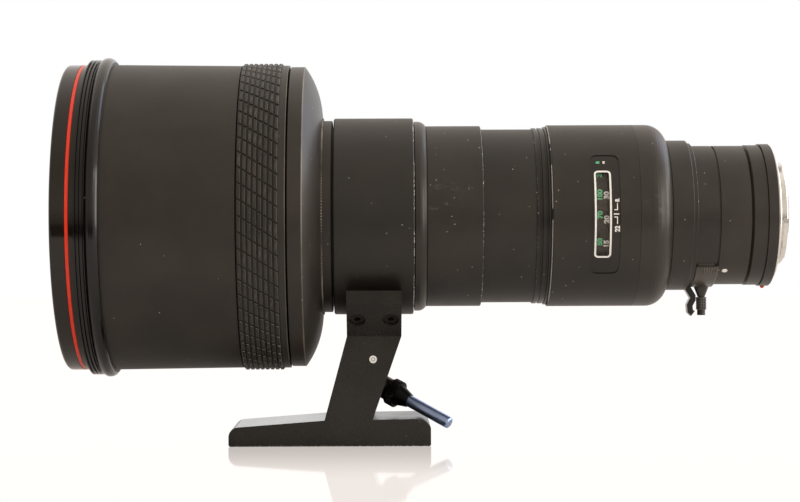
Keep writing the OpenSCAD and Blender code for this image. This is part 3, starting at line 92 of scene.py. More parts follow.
def rim_end(node):
    """Where a node's largest radius ends, towards the rear."""
    full = outer_radius(node) - 0.05 * MM
    return max(
        v.co.x for v in frame["nodes"][node].data.vertices
        if math.hypot(v.co.y, v.co.z - AXIS_Z) > full)


def joint_line(name):
    """The anchor and the direction of a joint of the frame."""
    found = next(joint for joint in frame["record"]["behaviour"]["joints"] if joint["name"] == name)
    return Vector(found["pos_m"]), Vector(found["axis"]).normalized()


def mount_of(name):
    """A mount of the record, with its place and sizes."""
    return next(mount for mount in frame["record"]["mounts"] if mount["name"] == name)


# Meshes


def add_piece(name, shape, finish, body, sharp_angle=35):
    """A closed mesh in the frame's place, smooth up to the sharp angle, riding on a body."""
    vertices, faces = shape
    mesh = bpy.data.meshes.new(name)
    mesh.from_pydata([tuple(v) for v in vertices], [], faces)
    work = bmesh.new()
    work.from_mesh(mesh)
    bmesh.ops.remove_doubles(work, verts=work.verts, dist=1e-7)
    bmesh.ops.recalc_face_normals(work, faces=work.faces)
    work.to_mesh(mesh)
    work.free()
    mesh.shade_smooth()
    mesh.set_sharp_from_angle(angle=math.radians(sharp_angle))
    mesh.materials.append(finish)
    made = bpy.data.objects.new(name, mesh)
    bpy.context.scene.collection.objects.link(made)
    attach(made, body)
    return made


def joined(parts):
    """One list of vertices and one of faces from several."""
    vertices, faces = [], []
    for part_vertices, part_faces in parts:
        start = len(vertices)
        vertices += part_vertices
        faces += [[start + i for i in face] for face in part_faces]
    return vertices, faces


def strips(loops, closed):
    """Vertices and faces that join loops of as many points, and the last to the first if closed."""
    count = len(loops[0])
    vertices = [point for loop in loops for point in loop]
    faces = [
        [this * count + i, this * count + (i + 1) % count,
         after * count + (i + 1) % count, after * count + i]
        for this, after in (
            (level, (level + 1) % len(loops)) for level in range(len(loops) - (not closed)))
        for i in range(count)
    ]
    return vertices, faces


def turned(outline, steps=240, spot=on_lens):
    """A closed outline of (x, radius) points turned round an axis."""
    return strips([
        [spot(radius, 2 * math.pi * step / steps, x) for x, radius in outline]
        for step in range(steps)
    ], True)


def stacked(loops):
    """A closed solid whose sides join the loops. The first and the last are filled."""
    vertices, faces = strips(loops, False)
    count = len(loops[0])
    faces.append(list(range(count))[::-1])
    faces.append([(len(loops) - 1) * count + i for i in range(count)])
    return vertices, faces


def banded(outer, inner, lower, upper):
    """A frame between an outer and an inner loop, from a lower to an upper surface."""
    return strips([
        [lower(p) for p in outer], [upper(p) for p in outer],
        [upper(p) for p in inner], [lower(p) for p in inner],
    ], True)


def rounded_rectangle(width, length, corner):
    """Points round a rectangle centred on zero, with its long sides cut into steps."""
    corner_steps, side_steps = 6, 18
    points = []
    for centre_x, centre_y, start in ((1, 1, 0), (-1, 1, 90), (-1, -1, 180), (1, -1, 270)):
        for step in range(corner_steps + 1):
            angle = math.radians(start + 90 * step / corner_steps)
            points.append((
                centre_x * (width / 2 - corner) + corner * math.cos(angle),
                centre_y * (length / 2 - corner) + corner * math.sin(angle),
            ))
        if start in (90, 270):
            x, y0 = points[-1]
            y1 = -y0
            points += [(x, y0 + (y1 - y0) * s / side_steps) for s in range(1, side_steps)]
    return points


def lettering(text, height):
    """A solid of the text, centred on zero, reading along X with its top towards Y."""
    capital_share, weight = 0.7, 0.075
    curve = bpy.data.curves.new("lettering", "FONT")
    curve.body = text
    curve.size = height / capital_share
    curve.offset = weight * height
    curve.resolution_u = 4
    curve.extrude = 0.5
    curve.align_x, curve.align_y = "CENTER", "CENTER"
    cut = bpy.data.objects.new("lettering", curve)
    bpy.context.scene.collection.objects.link(cut)
    ready = cut.evaluated_get(bpy.context.evaluated_depsgraph_get())
    mesh = bpy.data.meshes.new_from_object(ready)
    vertices = [v.co.copy() for v in mesh.vertices]
    faces = [list(polygon.vertices) for polygon in mesh.polygons]
    middle = [
        (max(v[axis] for v in vertices) + min(v[axis] for v in vertices)) / 2 for axis in (0, 1)
    ]
    for v in vertices:
        v.x -= middle[0]
        v.y -= middle[1]
    bpy.data.objects.remove(cut)
    bpy.data.meshes.remove(mesh)
    bpy.data.curves.remove(curve)
    return vertices, faces


def printed_upward(text, height, radius, angle, x, stretch):
    """Text on the lens that reads upward on the near side, with its top towards the front."""
    vertices, faces = lettering(text, height)
    placed = [
        on_lens(radius + 2 * PRINT_PROUD * v.z, angle - stretch * v.x / radius, x - v.y)
        for v in vertices
    ]
    return placed, faces


def printed_bar(radius, angle, x, width, length):
    """A small bar on the lens: its width lies along the axis and its length round the barrel."""
    steps = 4
    side = [(-width / 2, (s / steps - 0.5) * length) for s in range(steps + 1)]
    outline = side + [(-a, b) for a, b in reversed(side)]
    return stacked([
        [on_lens(radius + level, angle + b / radius, x + a) for a, b in outline]
        for level in (-PRINT_PROUD, PRINT_PROUD)
    ])


def smooth_dome(centre, out, radius, height, rings=6, steps=28):
    """A low dome on a short skirt, standing out of a surface, as a paint dot or a bead has."""
    side = out.orthogonal().normalized()
    other = out.cross(side)

    def ring(level, reach):
        return [
            centre + out * level + (side * math.cos(a) + other * math.sin(a)) * reach
            for a in (2 * math.pi * s / steps for s in range(steps))
        ]

    turns = [math.radians(86) * (step / rings) for step in range(rings + 1)]
    return stacked([ring(-height, radius)] + [
        ring(height * math.sin(turn), radius * math.cos(turn)) for turn in turns])


# Shader maths


class Shade:
    """A socket in a material's nodes, so that shader maths reads as plain Python."""

    def __init__(self, tree, socket=None):
        self.tree = tree
        self.socket = socket

    def node(self, kind, settings=None, sockets=None, output=0):
        """Adds a node, sets its settings first, and then fills its sockets with values or links."""
        made = self.tree.nodes.new("ShaderNode" + kind)
        for name, value in (settings or {}).items():
            if name == "stops":
                ramp = made.color_ramp
                while len(ramp.elements) < len(value):
                    ramp.elements.new(0.5)
                for element, (position, colour) in zip(ramp.elements, value):
                    element.position, element.color = position, colour
            else:
                setattr(made, name, value)
        for key, value in (sockets or {}).items():
            if isinstance(value, Shade):
                self.tree.links.new(value.socket, made.inputs[key])
            else:
                made.inputs[key].default_value = value
        return Shade(self.tree, made.outputs[output] if made.outputs else None)

    def maths(self, operation, *values):
        return self.node("Math", {"operation": operation}, dict(enumerate(values)))

    def __add__(self, other):
        return self.maths("ADD", self, other)

    def __sub__(self, other):
        return self.maths("SUBTRACT", self, other)

    def __rsub__(self, other):
        return self.maths("SUBTRACT", other, self)

    def __mul__(self, other):
        return self.maths("MULTIPLY", self, other)

    def __truediv__(self, other):
        return self.maths("DIVIDE", self, other)

    __radd__ = __add__
    __rmul__ = __mul__

    def above(self, level):
        return self.maths("GREATER_THAN", self, level)

    def below(self, level):
        return self.maths("LESS_THAN", self, level)

    def near(self, level, reach):
        """1 within the reach of a level, and 0 elsewhere."""
        return self.maths("COMPARE", self, level, reach)

    def eased(self, low, high):
        """Rises smoothly from 0 at low to 1 at high."""
        return self.node(
            "MapRange", {"interpolation_type": "SMOOTHSTEP"},
            {"Value": self, "From Min": low, "From Max": high},
        )

    def mixed(self, first, second):
        """A colour between two, by this value."""
        factor, colour_a, colour_b, colour_out = 0, 6, 7, 2
        return self.node(
            "Mix", {"data_type": "RGBA"}, {factor: self, colour_a: first, colour_b: second},
            colour_out)

    def across(self, other):
        """The length of a vector that has these two parts."""
        return self.maths("SQRT", self * self + other * other)

    def part(self, which):
        """The X, Y or Z of a vector."""
        return self.node("SeparateXYZ", sockets={"Vector": self}, output=which)

    def place(self):
        """The point of the surface in the object's own space, which is the frame's, in metres."""
        return self.node("TexCoord", output="Object")

    def noise(self, size, detail=3.0, roughness=0.55, at=None):
        """Noise whose features are about a size, from 0 to 1."""
        return self.node(
            "TexNoise", sockets={
                "Vector": at or self.place(), "Scale": 1 / size, "Detail": detail,
                "Roughness": roughness,
            },
        )

    def streaks(self, counts, detail=2.0, roughness=0.5):
        """Noise drawn out into lines, with so many features a metre along X, Y and Z."""
        drawn = self.node("VectorMath", {"operation": "MULTIPLY"}, {0: self.place(), 1: counts})
        return self.noise(1.0, detail, roughness, at=drawn)

    def flecks(self, cell, size, share):
        """Small round marks, of which one lies in a share of the cells."""
        spots = self.node("TexVoronoi", sockets={"Vector": self.place(), "Scale": 1 / cell})
        voronoi = spots.socket.node
        colour = Shade(self.tree, voronoi.outputs["Color"])
        return spots.below(size / cell) * colour.part("X").above(1 - share)


def ink(red, green, blue):
    """A colour given as it shows on a screen, 0 to 255, in the linear values of shaders."""
    shares = [value / 255 for value in (red, green, blue)]
    return tuple(
        share / 12.92 if share <= 0.04045 else ((share + 0.055) / 1.055) ** 2.4 for share in shares
    ) + (1.0,)


def dimmed(colour, share):
    """A colour at a share of its strength."""
    return tuple(min(1.0, c * share) for c in colour[:3]) + (1.0,)


def open_finish(name):
    """An empty material, and a Shade on its tree."""
    made = bpy.data.materials.new(name)
    made.use_nodes = True
    made.node_tree.nodes.clear()
    return made, Shade(made.node_tree)


def close_finish(made, shade, sockets):
    """Ends a material in a Principled surface with these sockets, and gives it back."""
    surface = shade.node("BsdfPrincipled", sockets=sockets)
    shade.node("OutputMaterial", sockets={"Surface": surface})
    return made


def bumped(shade, height, depth):
    """A normal from a height of 0 to 1 that stands for a depth in metres."""
    return shade.node("Bump", sockets={"Height": height, "Distance": depth, "Strength": 1.0})


# Finishes


def painted(name, colour, rough, dust, gloss_end=None, scuff=None, rim=None, seams=(), worn=None):
    """Black barrel paint: fine grain, clouding, dust, seams, a painted highlight along a rim, a
    scuff, a chipped edge.
    """
    made, shade = open_finish(name)
    where = shade.place()
    along = where.part("X")
    cloud = shade.noise(28 * MM, 4.0, 0.6)
    smear = shade.noise(7 * MM, 5.0, 0.65)
    chips = shade.noise(0.9 * MM, 4.0, 0.7)
    scratch = shade.streaks((190.0, 1500.0, 420.0))
    base = cloud.eased(0.3, 0.7).mixed(dimmed(colour, 0.84), dimmed(colour, 1.3))
    roughness = rough + 0.07 * (smear - 0.5) + 0.05 * (scratch - 0.5)
    if gloss_end is not None:
        enamel = along.below(gloss_end)
        base = enamel.mixed(base, ink(17, 16, 16))
        roughness = roughness - 0.3 * enamel
    if scuff:
        centre, reach = scuff
        away = shade.node(
            "VectorMath", {"operation": "DISTANCE"}, {0: where, 1: centre}, output="Value")
        rubbed = away.below(reach) * (1 - away / reach) * (chips * 0.5 + scratch).above(0.86)
        base = (rubbed * 0.24).mixed(base, ink(128, 124, 116))
    dusty = shade.flecks(3.4 * MM, 0.24 * MM, dust) * smear.above(0.46)
    dusty = dusty * (0.35 + chips.eased(0.4, 0.6))
    base = (dusty * 0.75).mixed(base, ink(206, 200, 188))
    # Painted highlight: a lighter line along the rim stands for the light that its small rounding
    # catches.
    if rim is not None:
        lit = along.near(rim, 0.3 * MM) * (0.2 + 0.3 * cloud.eased(0.35, 0.65))
        base = lit.mixed(base, ink(150, 144, 134))
    for seam in seams:
        base = along.near(seam, 0.16 * MM).mixed(base, ink(4, 4, 4))
    if worn:
        edge, level = worn
        patches = shade.noise(13 * MM, 2.0, 0.5)
        bare = along.near(edge, 0.2 * MM) * chips.above(level) * patches.above(0.44)
        base = (bare * 0.9).mixed(base, ink(206, 202, 194))
    return close_finish(made, shade, {
        "Base Color": base,
        "Roughness": roughness,
        "Normal": bumped(shade, shade.noise(0.35 * MM, 2.0, 0.6), 0.004 * MM),
    })


def gloss_ring_finish():
    """Polished black enamel with faint hairlines and a few dust specks."""
    made, shade = open_finish("Front ring enamel")
    dusty = shade.flecks(5 * MM, 0.14 * MM, 0.2)
    hair = shade.streaks((2600.0, 90.0, 90.0), 3.0)
    tone = shade.noise(18 * MM).mixed(ink(24, 20, 17), ink(33, 28, 23))
    return close_finish(made, shade, {
        "Base Color": (dusty * 0.5).mixed(tone, ink(150, 145, 138)),
        "Roughness": 0.07 + 0.05 * hair + 0.3 * dusty,
        "Normal": bumped(shade, shade.noise(6 * MM, 2.0), 0.002 * MM),
    })


def rubber_finish():
    """Dull moulded rubber: matt skin, pores, grey wear on what stands highest, a painted highlight on
    the blocks' chamfers and painted shade down in the grooves.
    """
    made, shade = open_finish("Grip rubber")
    where = shade.place()
    radius = where.part("Y").across(where.part("Z") - AXIS_Z)
    top = outer_radius("focus_grip")
    crest = radius.eased(top - 0.22 * MM, top)
    # Painted highlight: the chamfers round the blocks' tops are made lighter, standing for the light
    # they catch.
    rim = radius.eased(top - 0.3 * MM, top - 0.2 * MM) * (1 - radius.eased(top - 0.1 * MM, top))
    # Painted shade: darker down the blocks' sides and on the sleeve between them.
    deep = 1 - radius.eased(top - 0.5 * MM, top - 0.28 * MM)
    cloud = shade.noise(9 * MM, 4.0, 0.6)
    pores = shade.noise(0.25 * MM, 2.0, 0.6)
    base = cloud.eased(0.3, 0.7).mixed(ink(30, 28, 26), ink(40, 37, 34))
    base = (crest * cloud.eased(0.35, 0.75) * 0.5).mixed(base, ink(62, 58, 53))
    base = (rim * 0.6).mixed(base, ink(124, 117, 107))
    base = (deep * 0.95).mixed(base, ink(5, 5, 5))
    base = (shade.flecks(3.6 * MM, 0.15 * MM, 0.14) * 0.5).mixed(base, ink(150, 144, 134))
    return close_finish(made, shade, {
        "Base Color": base,
        "Roughness": 0.5 + 0.16 * (cloud - 0.5) - 0.08 * crest,
        "Normal": bumped(shade, pores, 0.012 * MM),
    })


def cast_finish():
    """Cast and painted foot: fine orange peel, rubbed edges, a little grit, and a painted reflection
    on the flat top towards its left end, where the paint is also smoother.
    """
    made, shade = open_finish("Cast foot paint")
    peel = shade.noise(0.55 * MM, 3.0, 0.6)
    cloud = shade.noise(20 * MM, 4.0, 0.6)
    grit = shade.flecks(3.2 * MM, 0.2 * MM, 0.16)
    base = cloud.eased(0.3, 0.7).mixed(ink(23, 21, 19), ink(31, 29, 26))
    where = shade.place()
    z = where.part("Z")
    flat = shade.node("NewGeometry", output="Normal").part("Z").eased(0.9, 0.98)
    # Painted reflection: this mask makes the flat top lighter towards its left end, standing for the
    # light it mirrors there; the same mask also really makes the paint smoother.
    polished = flat * (1 - where.part("X").eased(-20 * MM, 40 * MM))
    base = (polished * (0.3 + 0.4 * cloud)).mixed(base, ink(176, 166, 156))
    sole = z.below(0.5 * MM) * shade.noise(1.2 * MM, 4.0, 0.7).above(0.52)
    base = (grit * 0.5).mixed(base, ink(140, 134, 124))
    base = (sole * 0.8).mixed(base, ink(128, 124, 116))
    return close_finish(made, shade, {
        "Base Color": base,
        "Metallic": 0.7 * sole,
        "Roughness": 0.27 - 0.12 * polished + 0.14 * (cloud - 0.5) + 0.1 * (peel - 0.5),
        "Normal": bumped(shade, peel * (1 - 0.85 * flat), 0.02 * MM),
    })


def metal_finish(name, colour, dark, rough):
    """Machined metal: tool lines, smudges and small dark nicks."""
    made, shade = open_finish(name)
    lines = shade.streaks((60.0, 2400.0, 2400.0), 3.0, 0.6)
    smudge = shade.noise(6 * MM, 4.0, 0.6)
    nicks = shade.flecks(2.8 * MM, 0.16 * MM, 0.2)
    base = (smudge.eased(0.42, 0.8) * 0.45 + 0.25 * lines).mixed(colour, dark)
    return close_finish(made, shade, {
        "Base Color": (nicks * 0.6).mixed(base, dark),
        "Metallic": 1.0,
        "Roughness": rough + 0.14 * (smudge - 0.4) + 0.08 * (lines - 0.5),
        "Normal": bumped(shade, lines, 0.002 * MM),
    })


def pin_finish():
    """The bright pin in the leg, with a ring of painted shade on its end, standing for the shade of a
    hollow.
    """
    made, shade = open_finish("Bright pin")
    low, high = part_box("leg_pin")
    centre = (low + high) / 2
    where = shade.place()
    away = (where.part("X") - centre.x).across(where.part("Z") - centre.z)
    # Painted shade: a dark ring on the pin's end, standing for the shade in a hollow.
    painted_dimple_shade = away.near(0.75 * MM, 0.16 * MM)
    return close_finish(made, shade, {
        "Base Color": (painted_dimple_shade * 0.8).mixed(ink(246, 246, 244), ink(96, 94, 92)),
        "Roughness": 0.3 + 0.2 * shade.noise(0.4 * MM),
        "Metallic": 0.35,
    })


def inner_finish():
    """Flocked and ribbed black of the light baffles, with a few stray fibres."""
    made, shade = open_finish("Inner black")
    x = shade.place().part("X")
    ribs = shade.maths("PINGPONG", x, 0.4 * MM) / (0.4 * MM)
    flock = shade.noise(0.3 * MM, 3.0, 0.7)
    base = flock.mixed(ink(12, 12, 12), ink(24, 23, 23))
    base = (shade.flecks(6 * MM, 0.14 * MM, 0.2) * 0.5).mixed(base, ink(120, 116, 110))
    return close_finish(made, shade, {
        "Base Color": base,
        "Roughness": 0.72 + 0.15 * (flock - 0.5),
        "Normal": bumped(shade, ribs + 0.3 * flock, 0.09 * MM),
    })


def moulded_finish(name, first, second, rough):
    """Moulded plastic: faint flow marks and a fine spark texture."""
    made, shade = open_finish(name)
    flow = shade.noise(11 * MM, 3.0, 0.5)
    spark = shade.noise(0.2 * MM, 2.0, 0.5)
    base = flow.eased(0.3, 0.7).mixed(first, second)
    return close_finish(made, shade, {
        "Base Color": (shade.flecks(3 * MM, 0.13 * MM, 0.12) * 0.4).mixed(base, ink(150, 146, 138)),
        "Roughness": rough + 0.12 * (flow - 0.5),
        "Normal": bumped(shade, spark, 0.006 * MM),
    })


def ink_finish(name, colour, rough, wear=0.0):
    """Printed or filled paint, a little uneven, rubbed thin in places where it is worn."""
    made, shade = open_finish(name)
    patch = shade.noise(0.8 * MM, 3.0, 0.6)
    return close_finish(made, shade, {
        "Base Color": patch.eased(0.35, 0.6).mixed(dimmed(colour, 0.86 - wear), colour),
        "Roughness": rough + 0.1 * (patch - 0.5),
        "Normal": bumped(shade, patch, 0.004 * MM),
    })


def coated_glass_finish():
    """Optical glass with a green and magenta coating, a few specks of dust and a faint wipe."""
    made, shade = open_finish("Coated glass")
    dusty = shade.flecks(6 * MM, 0.13 * MM, 0.25)
    wipe = shade.noise(16 * MM, 4.0, 0.6)
    return close_finish(made, shade, {
        "Base Color": (dusty * 0.6).mixed(ink(198, 210, 206), ink(170, 168, 160)),
        "Roughness": 0.015 + 0.02 * wipe + 0.35 * dusty,
        "IOR": 1.5,
        "Transmission Weight": 1.0,
        "Coat Weight": 0.3 + 0.15 * wipe,
        "Coat Roughness": 0.02,
        "Coat Tint": ink(196, 226, 212),
        "Thin Film Thickness": 420.0,
        "Thin Film IOR": 1.38,
    })


def window_finish():
    """The clear window over the scale, with smears and hairlines."""
    made, shade = open_finish("Window plastic")
    smear = shade.noise(5 * MM, 4.0, 0.6)
    hair = shade.streaks((900.0, 2600.0, 120.0))
    return close_finish(made, shade, {
        "Base Color": smear.mixed(ink(136, 128, 117), ink(156, 147, 135)),
        "Roughness": 0.1 + 0.05 * smear + 0.04 * hair,
        "Alpha": 0.06 + 0.05 * smear.eased(0.4, 0.7),
        "IOR": 1.49,
    })


def floor_finish(colour, mirror, blur):
    """A pale glossy table. The camera sees it bright, with the lens's reflection and shadow."""
    made, shade = open_finish("Pale table")
    plain = shade.node("BsdfDiffuse", sockets={"Color": colour})
    bright = shade.node("Emission", sockets={"Color": (1.0, 0.93, 0.885, 1.0), "Strength": 1.1})
    shine = shade.node("BsdfGlossy", sockets={"Color": (1.0, 1.0, 1.0, 1.0), "Roughness": blur})
    glow, near_mirror = 0.97, 0.2
    shown = shade.node("MixShader", sockets={0: glow, 1: plain, 2: bright})
    fading = shade.place().part("Y").eased(-0.18, -0.02)
    fading = fading * (mirror - near_mirror) + near_mirror
    shown = shade.node("MixShader", sockets={0: fading, 1: shown, 2: shine})
    camera = shade.node("LightPath", output="Is Camera Ray")
    surface = shade.node("MixShader", sockets={0: camera, 1: plain, 2: shown})
    shade.node("OutputMaterial", sockets={"Surface": surface})
    return made


def dress(finish, *nodes):
    """Gives CAD nodes a finish."""
    for node in nodes:
        for slot in frame["nodes"][node].material_slots:
            slot.material = finish


# Sizes and colours that a user would change


class LensPaint(PropertyGroup):
    barrel: FloatVectorProperty(
        name="Barrel paint", description="Colour of the matt barrels", subtype="COLOR", size=4,
        min=0, max=1, default=ink(42, 38, 33))
    drum: FloatVectorProperty(
        name="Drum paint", description="Colour of the large front drum", subtype="COLOR", size=4,
        min=0, max=1, default=ink(39, 35, 30))
    line: FloatVectorProperty(
        name="Front line", description="Colour of the line round the front ring", subtype="COLOR",
        size=4, min=0, max=1, default=ink(250, 58, 28))
    print_white: FloatVectorProperty(
        name="White print", description="Colour of the white marks", subtype="COLOR", size=4,
        min=0, max=1, default=ink(255, 254, 250))
    print_green: FloatVectorProperty(
        name="Green print", description="Colour of the second distance scale", subtype="COLOR",
        size=4, min=0, max=1, default=ink(104, 206, 150))
    drum_roughness: FloatProperty(
        name="Drum roughness", description="Roughness of the large front drum's paint",
        subtype="FACTOR", min=0.1, max=0.9, default=0.46)


class LensGrip(PropertyGroup):
    columns: IntProperty(
        name="Columns", description="Blocks side by side along the grip", min=3, max=16, default=8)
    rows: IntProperty(
        name="Rows", description="Blocks round the grip", min=24, max=120, default=62)
    lean: FloatProperty(
        name="Lean", description="How far each column is shifted round the grip",
        subtype="DISTANCE", unit="LENGTH", default=1.46 * MM)
    depth: FloatProperty(
        name="Depth", description="Height of the blocks over the sleeve", subtype="DISTANCE",
        unit="LENGTH", min=0.1 * MM, default=0.6 * MM)
    column_groove: FloatProperty(
        name="Column groove", description="Width of the grooves round the grip", subtype="DISTANCE",
        unit="LENGTH", default=0.72 * MM)
    row_groove: FloatProperty(
        name="Row groove", description="Width of the slanted grooves", subtype="DISTANCE",
        unit="LENGTH", default=0.82 * MM)
    chamfer: FloatProperty(
        name="Chamfer", description="Bevel on the tops of the blocks", subtype="DISTANCE",
        unit="LENGTH", default=0.3 * MM)


class LensMarks(PropertyGroup):
    line_offset: FloatProperty(
        name="Line place", description="From the front edge to the middle of the front line",
        subtype="DISTANCE", unit="LENGTH", default=7.8 * MM)
    line_width: FloatProperty(
        name="Line width", description="Width of the front line", subtype="DISTANCE", unit="LENGTH",
        default=1.6 * MM)
    frame_stroke: FloatProperty(
        name="Window line", description="Width of the white line round the window",
        subtype="DISTANCE", unit="LENGTH", default=0.85 * MM)
    digit_height: FloatProperty(
        name="Digit height", description="Height of the scale's digits", subtype="DISTANCE",
        unit="LENGTH", default=2.2 * MM)
    dot_radius: FloatProperty(
        name="Dot radius", description="Radius of the white alignment dot", subtype="DISTANCE",
        unit="LENGTH", default=1.35 * MM)
    bead_radius: FloatProperty(
        name="Bead radius", description="Radius of the red bead at the mount", subtype="DISTANCE",
        unit="LENGTH", default=1.1 * MM)


class LensStage(PropertyGroup):
    table: FloatVectorProperty(
        name="Table", description="Colour of the table", subtype="COLOR", size=4, min=0, max=1,
        default=(0.7, 0.67, 0.64, 1.0))
    mirror: FloatProperty(
        name="Table gloss", description="Share of the table's look that is reflection",
        subtype="FACTOR", min=0, max=1, default=0.5)
    blur: FloatProperty(
        name="Table blur", description="Roughness of the table's reflection", subtype="FACTOR",
        min=0, max=1, default=0.05)
    focal_length: FloatProperty(
        name="Focal length", description="Focal length of the camera in millimetres",
        subtype="DISTANCE_CAMERA", unit="CAMERA", min=20, max=400, default=95.43)


# Pieces


# Each barrel's roughness, its share of the paint's colour, and how many of its specks of dust show
BARRELS = {
    "focus_ring": (0.42, 1.0, 0.3),
    "shoulder_housing": (0.38, 1.0, 0.3),
    "neck_ring": (0.48, 1.0, 0.3),
    "main_tube": (0.5, 1.0, 0.3),
    "tripod_collar": (0.46, 0.66, 0.3),
    "collar_retaining_ring": (0.34, 1.0, 0.3),
    "mid_barrel": (0.44, 0.92, 0.85),
    "inner_barrel": (0.45, 0.75, 0.4),
    "ribbed_ring": (0.3, 0.4, 0.3),
    "af_housing": (0.42, 0.88, 0.75),
    # The rear shoulder's and the rear barrel's shares above 1 are painted light: they make these
    # parts lighter, standing for the light that falls on them.
    "rear_shoulder": (0.36, 1.1, 0.3),
    "rear_ring": (0.42, 1.0, 0.3),
    "filter_section": (0.42, 1.0, 0.3),
    "rear_barrel": (0.42, 1.12, 0.3),
    "mount_ring": (0.38, 1.0, 0.3),
    "window_panel": (0.36, 0.72, 0.3),
}
# The end of a barrel whose edge is chipped, 0 at the front and 1 at the rear, and the level above
# which the noise lays the metal bare
CHIPPED = {
    "tripod_collar": (1, 0.53), "mid_barrel": (1, 0.57), "ribbed_ring": (0, 0.62),
    "af_housing": (0, 0.4), "rear_ring": (1, 0.62),
}


class LENS_OT_barrels(Operator):
    """Paints the barrels, rings and housings"""
    bl_idname = "lens.barrels"
    bl_label = "Barrels"

    def execute(self, context):
        paint = context.scene.lens_paint
        bead_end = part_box("front_barrel")[0].x + 11.2 * MM
        drum = painted("Drum paint", paint.drum, paint.drum_roughness, 0.1, gloss_end=bead_end)
        dress(drum, "front_barrel")
        dress(gloss_ring_finish(), "front_ring")
        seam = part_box("af_housing")[1].x
        seams = {
            "af_housing": (seam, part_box("af_housing")[0].x + 0.62 * MM),
            "rear_shoulder": (seam,),
        }
        scuffs = {
            node: (on_lens(outer_radius(node), NEAR - math.radians(turn), x), reach)
            for node, turn, x, reach in (
                ("rear_shoulder", 3, seam + 9 * MM, 9 * MM), ("mid_barrel", 8, 52 * MM, 12 * MM))
        }
        # Where the painted highlight lies: at the rear end of the largest radius of the focus ring
        # and of the shoulder housing.
        highlight_rims = {node: rim_end(node) for node in ("focus_ring", "shoulder_housing")}
        for node, (roughness, share, dust) in BARRELS.items():
            worn = None
            if node in CHIPPED:
                end, level = CHIPPED[node]
                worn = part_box(node)[end].x + (0.12, -0.12)[end] * MM, level
            name, colour = "Barrel paint " + node.replace("_", " "), dimmed(paint.barrel, share)
            finish = painted(
                name, colour, roughness, dust, scuff=scuffs.get(node), rim=highlight_rims.get(node),
                seams=seams.get(node, ()), worn=worn)
            dress(finish, node)
        drawer = moulded_finish("Drawer paint", ink(50, 46, 41), ink(60, 56, 50), 0.34)
        dress(drawer, "filter_holder")
        return {"FINISHED"}


class LENS_OT_foot(Operator):
    """Paints the tripod foot, its screws and its pin"""
    bl_idname = "lens.foot"
    bl_label = "Foot"

    def execute(self, context):
        dress(cast_finish(), "tripod_foot")
        dress(pin_finish(), "leg_pin")
        dress(metal_finish("Black screws", ink(104, 100, 95), ink(46, 44, 42), 0.34), "foot_screws")
        liner = moulded_finish("Collar liner", ink(52, 50, 47), ink(64, 61, 57), 0.55)
        dress(liner, "collar_liner")
        return {"FINISHED"}


class LENS_OT_metalwork(Operator):
    """Finishes the mount, the lock and the moving metal inside"""
    bl_idname = "lens.metalwork"
    bl_label = "Metalwork"

    def execute(self, context):
        # Each metal's name, its bright and dark colours, its roughness, and the nodes that have it
        for name, bright, dark, roughness, nodes in (
            ("Mount chrome", ink(244, 242, 238), ink(196, 192, 186), 0.24, ["bayonet_mount"]),
            # Partly painted reflection: the rod's steel colour is tinted blue, standing for the cool
            # window light it mirrors.
            ("Rod steel with painted blue reflection", ink(190, 212, 255), ink(120, 142, 212), 0.34, ["lock_rod"]),
            ("Blackened lock steel", ink(34, 33, 33), ink(14, 14, 14), 0.42,
             ["lock_screw", "lock_washer"]),
            ("Small steel", ink(196, 196, 198), ink(120, 120, 122), 0.26,
             ["mount_screws", "af_shaft", "guide_bars", "brake_plunger"]),
            ("Shutter steel", ink(42, 44, 48), ink(20, 21, 24), 0.34,
             ["iris_blade_%d" % i for i in range(1, 8)]),
            ("Tube alloy", ink(150, 148, 144), ink(96, 94, 90), 0.36,
             ["helicoid_tube", "iris_actuator"]),
            ("Gear brass", ink(204, 168, 92), ink(128, 98, 48), 0.32, ["cluster_pinion"]),
        ):
            dress(metal_finish(name, bright, dark, roughness), *nodes)
        scale = moulded_finish("Scale drum paint", ink(26, 25, 24), ink(34, 32, 30), 0.5)
        dress(scale, "scale_drum")
        plastic = moulded_finish("Black plastic", ink(20, 19, 19), ink(32, 30, 29), 0.34)
        dress(plastic, "contact_block", "filter_knob")
        dress(inner_finish(), "bearing_tube", "front_cell", "retaining_rings", "rear_frame",
              "iris_housing", "focus_cell")
        return {"FINISHED"}


class LENS_OT_glass(Operator):
    """Finishes the glasses and the window"""
    bl_idname = "lens.glass"
    bl_label = "Glass"

    def execute(self, context):
        dress(coated_glass_finish(), "front_element", "second_element", "focus_element",
              "rear_element", "filter_glass")
        dress(window_finish(), "window_glass")
        return {"FINISHED"}


